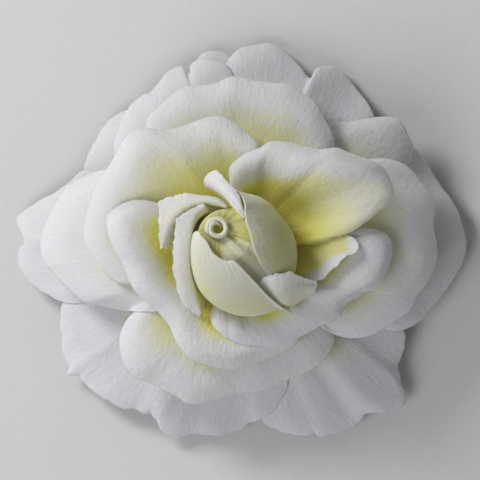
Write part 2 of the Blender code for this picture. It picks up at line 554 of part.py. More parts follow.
# ------------------------------------------------------------------ clip levers
def side_plate(name, outline, y_low, y_high):
    """Flat outline in the x-z plane pulled across to a thickness."""
    mesh = bpy.data.meshes.new(name)
    shape = bmesh.new()
    front = [shape.verts.new((x * MM, y_low * MM, z * MM)) for x, z in outline]
    shape.faces.new(front)
    pulled = bmesh.ops.extrude_face_region(shape, geom=list(shape.faces))
    moved = [v for v in pulled["geom"] if isinstance(v, bmesh.types.BMVert)]
    bmesh.ops.translate(shape, vec=Vector((0, (y_high - y_low) * MM, 0)), verts=moved)
    bmesh.ops.recalc_face_normals(shape, faces=shape.faces)
    shape.to_mesh(mesh)
    shape.free()
    return mesh


def add_cutter(name, mesh):
    """Helper body that only shapes another one."""
    cutter = bpy.data.objects.new(name, mesh)
    cutters.objects.link(cutter)
    cutter.hide_render = True
    cutter.display_type = "WIRE"
    return cutter


def combine(thing, other, operation):
    """Exact boolean with a helper body."""
    step = thing.modifiers.new(operation.lower() + "_" + other.name, "BOOLEAN")
    step.operation = operation
    step.solver = "EXACT"
    step.object = other
    return step


def strip(points, thickness):
    """Side outline of a bent metal strip; points follow its underside."""
    line = np.array(points, float)
    way = np.gradient(line, axis=0)
    way /= np.linalg.norm(way, axis=1)[:, None]
    upper = line + np.column_stack([-way[:, 1], way[:, 0]]) * thickness
    return [tuple(p) for p in line] + [tuple(p) for p in upper[::-1]]


def round_ear(z_join, half_join, below_pin):
    """Side outline of a rounded ear round the hinge pin, joined to a strip at z_join."""
    px, _, pz = PIVOT
    side = 1.0 if z_join > pz else -1.0
    turn = [math.pi * i / 10 for i in range(11)]
    arc = [(px - EAR_RADIUS * math.cos(a), pz - side * below_pin * math.sin(a)) for a in turn]
    return [(px - half_join, z_join)] + arc + [(px + half_join, z_join)]


def pin_hole(name, half):
    """Cylinder across the clip for the hinge pin."""
    hole = bmesh.new()
    bmesh.ops.create_cone(hole, cap_ends=True, segments=20, radius1=PIN_HOLE_RADIUS * MM,
                          radius2=PIN_HOLE_RADIUS * MM, depth=2 * half * MM)
    bmesh.ops.rotate(hole, verts=hole.verts, matrix=Matrix.Rotation(math.pi / 2, 3, "X"))
    bmesh.ops.translate(hole, verts=hole.verts, vec=Vector([MM * c for c in PIVOT]))
    mesh = bpy.data.meshes.new(name)
    hole.to_mesh(mesh)
    hole.free()
    return add_cutter(name, mesh)


upper_line = [(UPPER_TIP_X, UPPER_ARM_Z), (-20.0, UPPER_ARM_Z), (-5.0, UPPER_ARM_Z),
              (11.0, UPPER_ARM_Z), (14.0, UPPER_ARM_Z + 0.45), (18.0, UPPER_ARM_Z + 1.35),
              (22.0, UPPER_ARM_Z + 2.3), (TAIL_END_X, UPPER_ARM_Z + UPPER_TAIL_RISE)]
upper_half = UPPER_WIDTH / 2
upper_mesh = side_plate("upper_lever", strip(upper_line, SHEET_METAL), -upper_half, upper_half)
upper_lever = add_object("upper_lever", upper_mesh, CLIP_STEEL)
for side in (-1, 1):
    y_low = upper_half - SHEET_METAL if side > 0 else -upper_half
    ear_mesh = side_plate("upper_ear", round_ear(UPPER_ARM_Z + 0.4, 4.2, EAR_RADIUS),
                          y_low, y_low + SHEET_METAL)
    combine(upper_lever, add_cutter(f"upper_ear_{side}", ear_mesh), "UNION")
combine(upper_lever, pin_hole("upper_pin_hole", 8.0), "DIFFERENCE")
bevel(upper_lever, 0.2, 1)

lower_line = [(LOWER_TIP_X + 1.0, LOWER_PLATE_Z), (-20.0, LOWER_PLATE_Z),
              (-5.0, LOWER_PLATE_Z), (10.0, LOWER_PLATE_Z), (13.0, LOWER_PLATE_Z - 0.35),
              (17.0, LOWER_PLATE_Z - 1.15), (21.0, LOWER_PLATE_Z - 2.0),
              (TAIL_END_X, LOWER_PLATE_Z - 2.91)]
lower_half = LOWER_WIDTH / 2
lower_mesh = side_plate("lower_lever", strip(lower_line, SHEET_METAL), -lower_half, lower_half)
lower_lever = add_object("lower_lever", lower_mesh, CLIP_STEEL)
teeth = [(LOWER_TIP_X + 1.0, LOWER_PLATE_Z + 0.4)]
tooth_count = 9
for tooth in range(tooth_count):
    start = LOWER_TIP_X + 1.0 + TOOTH_PITCH * tooth
    teeth.append((start, TOOTH_TOP_Z - TOOTH_DEPTH))
    teeth.append((start + TOOTH_PITCH / 2, TOOTH_TOP_Z))
teeth += [(LOWER_TIP_X + 1.0 + TOOTH_PITCH * tooth_count, TOOTH_TOP_Z - TOOTH_DEPTH),
          (-9.5, LOWER_PLATE_Z + 1.8), (4.0, LOWER_PLATE_Z + 1.8)]
px, _, pz = PIVOT
teeth += [(px - 1.9 * math.cos(a), pz + 1.5 * math.sin(a))
          for a in [math.pi * i / 8 for i in range(9)]]
teeth += [(px + 3.0, LOWER_PLATE_Z + 0.3)]
for side in (-1, 1):
    y_low = lower_half - SHEET_METAL if side > 0 else -lower_half
    wall = side_plate("lower_wall", teeth, y_low, y_low + SHEET_METAL)
    combine(lower_lever, add_cutter(f"lower_wall_{side}", wall), "UNION")
combine(lower_lever, pin_hole("lower_pin_hole", 8.0), "DIFFERENCE")
bevel(lower_lever, 0.15, 1)

pin_profile = [(0.0, PIN_HALF + 0.6), (PIN_RADIUS + 0.3, PIN_HALF + 0.6),
               (PIN_RADIUS + 0.7, PIN_HALF + 0.25), (PIN_RADIUS + 0.7, PIN_HALF - 0.35),
               (PIN_RADIUS, PIN_HALF - 0.35), (PIN_RADIUS, -PIN_HALF + 0.35),
               (PIN_RADIUS + 0.7, -PIN_HALF + 0.35), (PIN_RADIUS + 0.7, -PIN_HALF - 0.25),
               (PIN_RADIUS + 0.3, -PIN_HALF - 0.6), (0.0, -PIN_HALF - 0.6)]
hinge_pin = turned("hinge_pin", pin_profile, (0.0, 0.0), CLIP_STEEL, 20)
hinge_pin.location = [MM * c for c in PIVOT]
hinge_pin.rotation_euler = (math.pi / 2, 0.0, 0.0)
shade_smooth(hinge_pin)

# Torsion spring: a coil round the pin with two legs lying between the tails.
spring_path = []
coil_steps = int(SPRING_TURNS * 16)
leg_tilt = math.radians(11.0)
for step in range(coil_steps + 1):
    share = step / coil_steps
    angle = math.pi / 2 + leg_tilt + 2 * math.pi * SPRING_TURNS * share
    spring_path.append((PIVOT[0] + SPRING_RADIUS * math.cos(angle),
                        -SPRING_HALF + 2 * SPRING_HALF * share,
                        PIVOT[2] + SPRING_RADIUS * math.sin(angle)))
leg_way = np.array((math.cos(leg_tilt), 0.0, math.sin(leg_tilt)))
first = np.array(spring_path[0])
final = np.array(spring_path[-1])
spring_path = [tuple(first + leg_way * SPRING_LEG)] + spring_path
spring_path += [tuple(final + leg_way * SPRING_LEG * 0.55)]
wire = bpy.data.curves.new("hinge_spring", "CURVE")
wire.dimensions = "3D"
wire.bevel_depth = SPRING_WIRE * MM
wire.bevel_resolution = 1
wire.use_fill_caps = True
track = wire.splines.new("POLY")
track.points.add(len(spring_path) - 1)
for point, place in zip(track.points, spring_path):
    point.co = (*[MM * c for c in place], 1.0)
hinge_spring = bpy.data.objects.new("hinge_spring", wire)
clip_parts.objects.link(hinge_spring)
spring_material = SPRING_STEEL.copy()
spring_material.name = "hinge_spring_material"
wire.materials.append(spring_material)

for plain in (PETAL_WHITE, PETAL_IVORY, BUD_YELLOW, STEM_GREEN, FELT_WHITE, GLUE_CLEAR,
              CLIP_STEEL, SPRING_STEEL):
    bpy.data.materials.remove(plain)
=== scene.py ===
"""Studio scene for the fabric rose hair clip: cloth petals, felt, and finishes for the clip.

All lengths below are millimetres in the row frame unless a name says otherwise.
"""
import math

import bmesh
import bpy
import numpy as np
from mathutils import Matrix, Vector
from mathutils.bvhtree import BVHTree


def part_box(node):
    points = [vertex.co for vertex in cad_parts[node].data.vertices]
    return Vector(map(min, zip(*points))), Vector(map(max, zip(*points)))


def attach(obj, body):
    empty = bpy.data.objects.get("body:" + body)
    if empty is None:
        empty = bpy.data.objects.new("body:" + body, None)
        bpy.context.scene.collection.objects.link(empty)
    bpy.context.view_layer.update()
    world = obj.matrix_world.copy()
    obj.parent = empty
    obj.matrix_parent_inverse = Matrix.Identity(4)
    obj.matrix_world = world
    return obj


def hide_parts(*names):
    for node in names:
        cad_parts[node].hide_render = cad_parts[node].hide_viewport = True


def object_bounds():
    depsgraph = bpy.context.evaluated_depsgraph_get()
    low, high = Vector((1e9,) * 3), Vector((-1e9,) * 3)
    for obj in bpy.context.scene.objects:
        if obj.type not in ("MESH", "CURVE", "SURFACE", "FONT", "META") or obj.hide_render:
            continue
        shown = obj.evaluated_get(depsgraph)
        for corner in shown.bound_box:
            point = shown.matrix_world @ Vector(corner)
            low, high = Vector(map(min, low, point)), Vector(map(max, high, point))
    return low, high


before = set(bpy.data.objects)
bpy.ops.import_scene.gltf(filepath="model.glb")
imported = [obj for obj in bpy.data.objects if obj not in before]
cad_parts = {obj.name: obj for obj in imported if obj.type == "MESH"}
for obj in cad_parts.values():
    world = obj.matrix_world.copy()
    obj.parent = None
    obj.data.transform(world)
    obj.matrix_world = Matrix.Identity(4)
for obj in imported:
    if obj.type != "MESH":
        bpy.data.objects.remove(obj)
cad_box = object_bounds()

MM = 0.001
CLOTH = 0.26                      # cloth thickness
CLOTH_GAP = 0.16                  # least air between two petals
WEAVE_LAYER = 7.3                 # step between petals in the weave, so that none look alike
TINY = 1e-9                       # keeps a division clear of zero

# The rose's axis is the stem's, and its rolled eye stands off it.
stem_low, stem_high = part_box("rose_stem")
ROSE_AXIS = ((stem_low.x + stem_high.x) / 2 / MM, (stem_low.y + stem_high.y) / 2 / MM)
ROSE_EYE = (ROSE_AXIS[0] - 6.0, ROSE_AXIS[1] + 6.0)

LOWEST_PETAL_Z = 14.1
PETAL_ROOT_STEP = 0.62
TOP_PETAL_ROOT = 6.2
PETAL_ROOT_SPREAD = 0.22

BUD_MID = (6.5, -7.5)
BUD_RADIUS = 12.0
BUD_MID_Z = 34.0
BUD_UP = 15.5
BUD_DOWN = 7.0
BUD_PETAL_ROOT = -34.0            # elevation of the bud petals' roots, degrees
LEAST_WRAP = 6.0                  # least climb of a wrap from its root, degrees
FLARE_START = 0.55                # share of a wrap's height where it starts to flare

# Rim line of each petal that opens in a ring, highest petal first: (x, y from the eye, z).
RING_PETALS = {
    "petal_inner_upper_right": [
        (3.5, 9.5, 26), (3, 13.5, 32), (4.5, 15.8, 33.5), (8, 18, 34), (11, 19.2, 34),
        (13, 20.4, 33.5), (15.5, 20.6, 33.5), (19, 19.7, 34), (22, 18.9, 34.5),
        (25.5, 18.5, 34.5), (29, 18.8, 34), (31, 18, 34), (35, 16.5, 33.5), (38.5, 15.2, 32.5),
        (40.5, 13.3, 31.5), (42.2, 10.3, 31), (42.6, 8, 31), (41.3, 5.8, 31), (38.5, 3.2, 31.5),
        (36, 1.2, 31.8), (33, -0.8, 31.8), (29, -2.3, 31.5), (24, -3.9, 29.5), (20.5, -4.6, 26)],
    "petal_inner_right_small": [
        (29.5, -2.3, 30), (31.5, -2, 30.5), (33.6, -3.2, 30.8), (34.3, -5, 31), (33, -6.3, 31.5),
        (30.7, -7.8, 32), (28.8, -9.8, 32.5), (26, -11.8, 33), (23.5, -13.3, 33), (21, -15.2, 32),
        (17, -15.6, 27.6), (12, -12.6, 24.2)],
    "petal_inner_lower_right": [
        (-1.5, -20.5, 27), (-1.2, -23, 30), (0.3, -25.2, 30.5), (2.3, -26.8, 30), (5, -27.6, 30),
        (8, -28.6, 29.5), (11, -28.4, 29.5), (13, -28.8, 29.5), (16.5, -28.5, 29.5),
        (20, -26.8, 30), (24, -24.5, 30.5), (28, -22.8, 30.5), (30.2, -21.3, 30.5),
        (30.7, -19, 31), (33, -17.2, 30.5), (36, -15.8, 29.5), (38.7, -14.5, 29),
        (41, -10.5, 28.5), (42.6, -6, 28), (42, -3, 28), (39.8, -1, 28), (36.5, -0.4, 28),
        (33, -1.5, 27.5), (22, -4, 24)],
    "petal_inner_lower_left": [
        (-13.5, 5.5, 30.5), (-19, 6.4, 33), (-23, 5.2, 34.5), (-26, 2.8, 35), (-26.2, -0.5, 35),
        (-24.7, -5, 34.5), (-22.2, -9.5, 33.5), (-20.2, -14.5, 32.5), (-17.7, -17.3, 32),
        (-14.2, -20.3, 31.5), (-11.3, -24, 31), (-9.5, -28, 30), (-6.3, -31.6, 29),
        (-2, -33.4, 28.5), (3, -34.4, 28), (6.5, -33.7, 28), (10, -32.4, 28), (15, -30.5, 28),
        (20, -27, 28.5), (18, -18, 25.5)],
    "petal_inner_upper_left": [
        (-20, -13.5, 26.5), (-23.5, -13.4, 26.5), (-26.5, -11, 27), (-30, -7, 27.5),
        (-32, -2.5, 28), (-31.6, 1, 28.5), (-30.5, 5.5, 29.5), (-28.5, 11, 30.5),
        (-25.5, 15, 31.5), (-23.5, 19, 32), (-21, 22.3, 32), (-17, 23.7, 31.5), (-12, 23.2, 31),
        (-7, 24.6, 30.5), (-2.5, 26.2, 30.5), (0.5, 26.6, 30.5), (3.5, 25.5, 31), (7, 22.7, 31.5),
        (10.5, 19, 31.5), (11, 8, 26.5)],
    "petal_middle_left": [
        (-22, 14.5, 23), (-28, 13.7, 22), (-32, 12.5, 20.5), (-36, 10.3, 19), (-38.5, 7.5, 18),
        (-41, 2.5, 17), (-42.7, -2, 16.5), (-43, -5, 16.5), (-42, -8.7, 17), (-39, -12, 18),
        (-35.5, -15.5, 19), (-32, -18.3, 20), (-28, -19.2, 20.5), (-22, -20.3, 21),
        (-15, -20.5, 22)],
    "petal_middle_top": [
        (-8, 9, 23.5), (-17, 22, 23), (-16.5, 26.5, 22), (-13.5, 29.7, 21), (-8.5, 33.7, 19.5),
        (-4, 34.4, 19), (0, 35, 18.5), (3.5, 36.6, 17.5), (7, 36.1, 17.5), (12, 35.1, 18),
        (17, 34.8, 18), (20.5, 32.8, 18.5), (24, 30.3, 19), (26, 26.5, 20), (28.2, 21.5, 21),
        (27.5, 16, 22.5), (18, 5, 23)],
    "petal_middle_right": [
        (18, 5, 22.5), (30, 13.5, 23), (37, 16.3, 22.5), (42, 16.3, 21), (46, 14.8, 20),
        (50, 10.6, 19.5), (52.3, 7.5, 19.5), (53, 4.5, 20), (52.5, 0.5, 20.5), (53.3, -4, 20),
        (53.4, -8, 20), (51.5, -13, 20.5), (48.3, -17, 21), (47, -20, 20.5), (43, -23, 20.5),
        (38, -26, 20), (33, -27, 20), (29, -26.2, 20.5), (25, -24, 21.5), (16, -16, 22.5)],
    "petal_middle_bottom": [
        (-18, -19, 21.5), (-22, -23, 22), (-23.5, -27, 21.5), (-23.2, -31, 21), (-22, -34, 20.5),
        (-19.5, -36.8, 20), (-16, -37.8, 20), (-13, -39.6, 19.5), (-10, -41, 19), (-7, -43, 18),
        (-4, -42.9, 18), (0, -41.7, 18.5), (5, -40.2, 19), (10, -39.9, 19), (15, -37.9, 19),
        (20, -36, 19), (25, -33.3, 19), (27.5, -30, 19), (28.4, -26.5, 19.3), (19, -16, 21.5)],
    "petal_outer_right_upper": [
        (12, 5, 19), (22, 19, 16.5), (27, 25, 14.5), (32, 25.5, 13.5), (38, 26.6, 12),
        (41.5, 27, 11), (44.5, 26.2, 10.5), (46.5, 23, 10.5), (48, 19.5, 10.5), (46, 14, 12),
        (34, 4, 15.5), (18, -2, 18)],
    "petal_outer_top_left": [
        (-20, 10, 15.5), (-25.3, 17, 13), (-24.7, 22, 11.5), (-22.3, 28, 9.5), (-20, 31, 8.5),
        (-15, 35, 8), (-10.8, 38.9, 7.5), (-8.5, 39.3, 8), (-7.3, 38, 8.5), (-6, 40.6, 7.5),
        (-2, 41, 7.5), (1.5, 40.2, 8), (4, 37.3, 9.5), (6, 24, 14.5), (8, 6, 18)],
    "petal_outer_top": [
        (3, 6, 17), (2, 24, 12.5), (1.5, 36, 8), (2.5, 40.3, 6), (5, 43.5, 5), (9, 44.7, 4.5),
        (13, 45.1, 4), (17, 43, 4.5), (20.5, 39.3, 6), (23, 37.3, 6.5), (24, 38.7, 6.5),
        (28.5, 39.6, 4.5), (32, 37, 4), (35, 33, 4.5), (37.5, 29.5, 5.5), (38.6, 26.5, 6.5),
        (30, 14, 11.5), (16, 0, 16)],
    "petal_outer_right": [
        (16, 2, 16.5), (32, 14, 13), (42, 20, 9.5), (48, 19.6, 8), (52, 14.5, 7), (55, 10, 6.5),
        (58.3, 5.5, 6), (60.3, 0, 5.5), (61.2, -4.5, 5.5), (60.2, -9, 5.5), (56.5, -15, 6.5),
        (52.5, -20, 7.5), (49.5, -23.3, 8.5), (45.5, -25.1, 9.5), (38, -24, 11), (18, -13, 16)],
    "petal_outer_left": [
        (-22, 11, 12.5), (-28, 13.3, 11), (-33, 13.7, 9.5), (-36, 11.2, 8.5), (-40, 8.4, 7),
        (-45, 5.7, 6), (-49.3, 1.8, 4.5), (-47.8, -2.5, 6), (-49, -6.5, 4.5), (-48.3, -10.5, 4.5),
        (-45, -14.5, 5.5), (-41, -17, 7), (-37, -18.6, 8), (-26, -17, 12), (-5, -11, 16)],
    "petal_outer_left_upper": [
        (-30, 9.5, 8.5), (-32.5, 14, 6.5), (-31.5, 18, 5.5), (-30, 21, 5), (-28, 24.5, 4.5),
        (-25, 27.5, 4.5), (-22, 28.8, 5), (-17, 27.5, 7.5), (-11, 24, 10)],
    "petal_outer_bottom_left": [
        (-32, -16.5, 8.5), (-37.5, -18.3, 7), (-38.7, -23, 6), (-38, -27, 6), (-38.3, -30, 5.5),
        (-36.8, -33, 5.5), (-37, -35.8, 5), (-35, -37, 5), (-31, -39.5, 5), (-28, -42, 5),
        (-24.5, -44.3, 5), (-20.5, -44.5, 6), (-18, -46, 6.5), (-15, -47.5, 6.5),
        (-13, -50.5, 4.5), (-11, -52.1, 3.5), (-6, -51.2, 3), (0, -51.2, 3), (5, -50.2, 3.5),
        (10, -48, 4.5), (14, -45, 5.5), (16.5, -41, 7), (17.5, -36, 9), (14, -16, 14.5)],
    "petal_outer_bottom_right": [
        (10, -44, 6.5), (11, -47.3, 5), (13, -49, 4.5), (18, -50.5, 4), (24, -51.3, 3.5),
        (27, -51.2, 4), (31, -50, 4), (34.5, -48.7, 3.5), (38, -45.5, 5.5), (43, -45, 4.5),
        (46.7, -42.2, 4), (45.3, -38, 5.5), (44.3, -34, 6), (45.8, -30, 6), (45, -24, 7.5),
        (34, -15, 11)],
    "petal_outer_top_back": [
        (0, 4, 14), (-7, 20, 10), (-8, 34, 6.5), (-5, 41, 4), (-3, 43, 3.5), (0, 43.3, 3),
        (3, 42.3, 3), (7, 39, 4), (10, 28, 8), (10, 5, 14)],
}

BUD_PETALS = ("bud_petal_front", "bud_petal_low", "bud_petal_right", "bud_petal_upper_left",
              "bud_petal_left")
# Two petals wrap the leaning egg of the bud. Each station along the top edge is (azimuth,
# elevation on the egg, distance off it, flare outwards). The edge is pale up to the first
# distance from it, and has its inner tone beyond the second.
BUD_WRAPS = {
    "bud_petal_front": dict(columns=260, pale=(-6, 16), inner_tone=0.5, stations=[
        (165, -20, 0.7, 0), (172, 58, 0.7, 0), (200, 70, 0.9, 0), (228, 72, 1.1, 0),
        (255, 66, 1.5, 0), (278, 62, 2, 0), (296, 60, 2.4, 0.3), (302, 46, 2.6, 0.8),
        (304, 34, 2.8, 1), (307, 22, 2.9, 1.5), (311, 4, 3, 2.5), (313, -25, 3, 1)]),
    "bud_petal_right": dict(columns=90, pale=(-6, 9.5), inner_tone=0.38, stations=[
        (-44, -25, 0.7, 0), (-42, 20, 0.7, 0), (-39, 40, 0.7, 0), (-30, 50, 0.7, 0),
        (-20, 56, 0.7, 0), (-8, 59, 0.7, 0), (8, 61, 0.8, 0), (22, 62, 1, 0), (38, 60, 1.2, 0),
        (52, 56, 1.6, 0), (64, 50, 2.4, 0), (74, 44, 3, 0), (84, 36, 3.3, 0.5), (93, 26, 3.5, 1),
        (100, 10, 3.6, 1), (104, -20, 3.6, 0)]),
}
BUD_WRAP_ROWS = 30
BUD_EDGE_TONE = 0.92

# How each petal is finished: foot and lip of its curve, the roll of its rim (drop, width),
# ruffles (height, waves, phase), raggedness, the rim's pale band (fully pale to, gone by),
# the face's tone (at radius, tone, at radius, tone) and nicks (x, y, depth, half width).
# Lengths are mm; a tone of 0 is deep yellow-green and 1 is white. A list of (share, value)
# stops is read along the rim.
FINISH = {
    "petal_inner_upper_right": dict(
        foot=(0.36, 0), lip=(0.4, [(0, 6), (0.1, 9), (0.42, 8.5), (0.8, 3), (1, 1)]),
        roll=([(0, 1), (0.5, 2), (0.7, 0.5), (1, 0)], 3.5), ruffle=(0.08, 2, 0.4), rag=0.14,
        pale=([(0, 5), (0.3, 7.5), (0.55, 5), (0.66, -2), (1, -4)],
              [(0, 9), (0.3, 11), (0.55, 9), (0.66, 1), (1, -1)]),
        face=(16, 0.12, 33, 0.76)),
    "petal_inner_right_small": dict(
        foot=(0.4, 0), lip=(0.35, 2), roll=(-1.2, 4), ruffle=(0.35, 4, 1), rag=0.3,
        pale=([(0, -3), (0.12, 0.5), (0.3, 2), (1, 2)], [(0, -1), (0.12, 3), (0.3, 5), (1, 5)]),
        face=(16, 0.18, 30, 0.5)),
    "petal_inner_lower_right": dict(
        foot=(0.28, 1.5), lip=(0.42, 7), roll=(1.2, 3), ruffle=(0.45, 4, 0.2), rag=0.3,
        pale=([(0, 3), (0.3, 4), (0.5, 8), (0.8, 8), (1, 6)],
              [(0, 8), (0.3, 9), (0.5, 14), (0.8, 14), (1, 12)]),
        face=(14, 0.15, 40, 0.6)),
    "petal_inner_lower_left": dict(
        foot=(0.3, 2), lip=(0.4, 5.5), roll=(2.2, 4.5), ruffle=(0.4, 3, 2), rag=0.06,
        pale=([(0, 3), (0.15, 5.5), (0.4, 5), (0.7, 4.5), (1, 4)],
              [(0, 8), (0.15, 12), (0.4, 10.5), (0.7, 9.5), (1, 9)]),
        face=(15, 0, 34, 0.55)),
    "petal_inner_upper_left": dict(
        foot=(0.36, 2), lip=(0.3, 3), roll=(1.8, 6), ruffle=(0.5, 3, 1.1), rag=0.06,
        pale=(2.5, 12), face=(15, 0.08, 36, 0.78)),
    "petal_middle_left": dict(
        roll=(2.6, 7), ruffle=(0.5, 3, 0.5), rag=0.06, pale=(6, 18), face=(24, 0.5, 44, 0.9)),
    "petal_middle_top": dict(
        roll=(2, 6), ruffle=(0.6, 3, 0), rag=0.07, pale=(4, 13), face=(24, 0.36, 44, 0.75)),
    "petal_middle_right": dict(
        roll=(2.4, 7), ruffle=(0.7, 3, 2.2), rag=0.06, pale=(3, 14), face=(30, 0.5, 46, 0.85)),
    "petal_middle_bottom": dict(
        roll=(1.6, 7), ruffle=(0.6, 3, 0.7), rag=0.07, pale=(5, 14), face=(20, 0.32, 42, 0.75)),
    "petal_outer_right_upper": dict(
        roll=(1.6, 6), ruffle=(0.6, 2, 1), rag=0.1, pale=(2, 12), face=(28, 0.38, 42, 0.9)),
    "petal_outer_top_left": dict(
        roll=(1.2, 5), ruffle=(0.8, 4, 0), rag=0.25, pale=(16, 28),
        nicks=[(-7.6, 37.6, 1.4, 0.7), (-17.5, 35, 0.6, 0.8)]),
    "petal_outer_top": dict(
        roll=(1.3, 6), ruffle=(0.8, 3, 1.4), rag=0.12, pale=(14, 28), nicks=[(23, 37, 1.4, 1)]),
    "petal_outer_right": dict(roll=(1.4, 6), ruffle=(0.8, 4, 0.3), rag=0.12, pale=(12, 26)),
    "petal_outer_left": dict(
        roll=(1, 5), ruffle=(0.7, 3, 0.9), rag=0.12, pale=(14, 26), nicks=[(-49.5, -3.5, 0.9, 1)]),
    "petal_outer_left_upper": dict(roll=(1, 5), ruffle=(0.5, 2, 0), rag=0.12, pale=(14, 26)),
    "petal_outer_bottom_left": dict(
        roll=(0.8, 4), ruffle=(0.9, 4, 0.6), rag=0.3, pale=(14, 28),
        nicks=[(-36.5, -34.4, 1.4, 0.6), (-34.6, -37.2, 0.8, 0.5),
               (-16.5, -46.8, 0.9, 0.8), (8.5, -48.6, 0.7, 0.7)]),
    "petal_outer_bottom_right": dict(
        roll=(0.8, 4), ruffle=(1, 4, 1.3), rag=0.28, pale=(12, 26),
        nicks=[(24.3, -51.2, 1.4, 0.5), (36.5, -46.8, 0.9, 1)]),
    "petal_outer_top_back": dict(roll=(0.8, 3), ruffle=(0.3, 2, 0), rag=0.1, pale=(12, 24)),
}
# What a ring's petals share, unless FINISH says otherwise.
RING_DEFAULTS = {
    "inner": dict(nicks=()),
    "middle": dict(foot=(0.38, 2.5), lip=(0.35, 6.5), nicks=()),
    "outer": dict(foot=(0.42, 1.5), lip=(0.38, 6), face=(20, 0.45, 45, 0.85), nicks=()),
}
RING_COLUMNS = 110
RING_ROWS = 24
ROW_CROWDING = 1.25               # above 1 the rows crowd towards the rim
CORNER_FADE = 8.0                 # rim detail fades in over this length from each corner
RUFFLE_REACH = 16.0               # how far ruffles run in from the rim
RAG_REACH = 2.5                   # how far the ragged cut moves the cloth behind it
FACE_CREASE = 0.08                # height of the soft creases across a petal's face


# ------------------------------------------------------------------------ shaping tools
NOISE_VALUES = 4096
NOISE_START = 700.0


def spline(points, count):
    """Catmull-Rom curve through points, resampled to even steps in plan."""
    p = np.array(points, float)
    chord = np.linalg.norm(np.diff(p[:, :2], axis=0), axis=1) + 1e-6
    knot = np.concatenate([[0.0], np.cumsum(np.sqrt(chord))])
    length = np.concatenate([[0.0], np.cumsum(chord)])
    where = np.interp(np.linspace(0.0, length[-1], count), length, knot)
    ends = np.vstack([2 * p[0] - p[1], p, 2 * p[-1] - p[-2]])
    k = np.concatenate([[2 * knot[0] - knot[1]], knot, [2 * knot[-1] - knot[-2]]])
    result = []
    for t in where:
        i = int(min(max(np.searchsorted(k, t, "right") - 1, 1), len(k) - 3))
        t0, t1, t2, t3 = k[i - 1:i + 3]
        p0, p1, p2, p3 = ends[i - 1:i + 3]
        a1 = ((t1 - t) * p0 + (t - t0) * p1) / (t1 - t0)
        a2 = ((t2 - t) * p1 + (t - t1) * p2) / (t2 - t1)
        a3 = ((t3 - t) * p2 + (t - t2) * p3) / (t3 - t2)
        b1 = ((t2 - t) * a1 + (t - t0) * a2) / (t2 - t0)
        b2 = ((t3 - t) * a2 + (t - t1) * a3) / (t3 - t1)
        result.append(((t2 - t) * b1 + (t - t1) * b2) / (t2 - t1))
    return np.array(result)


def running_length(line):
    """Length along a line of points, from its first point."""
    step = np.linalg.norm(np.diff(line, axis=0), axis=1)
    return np.concatenate([[0.0], np.cumsum(step)])


def ease(value):
    """Smooth step from 0 to 1 of a value already between them."""
    return value * value * (3 - 2 * value)


def smooth_noise(seed, where, grain):
    """Smooth seeded noise along a line, about -1 to 1."""
    values = np.random.default_rng(seed).uniform(-1, 1, NOISE_VALUES)
    s = np.asarray(where, float) / grain + NOISE_START
    i = np.floor(s).astype(int)
    f = ease(s - i)
    return values[i % NOISE_VALUES] * (1 - f) + values[(i + 1) % NOISE_VALUES] * f


def along_rim(value, share):
    """A plain number, or (share, value) stops read along the rim."""
    if isinstance(value, (int, float)):
        return np.full(len(share), float(value))
    return np.interp(share, [stop[0] for stop in value], [stop[1] for stop in value])


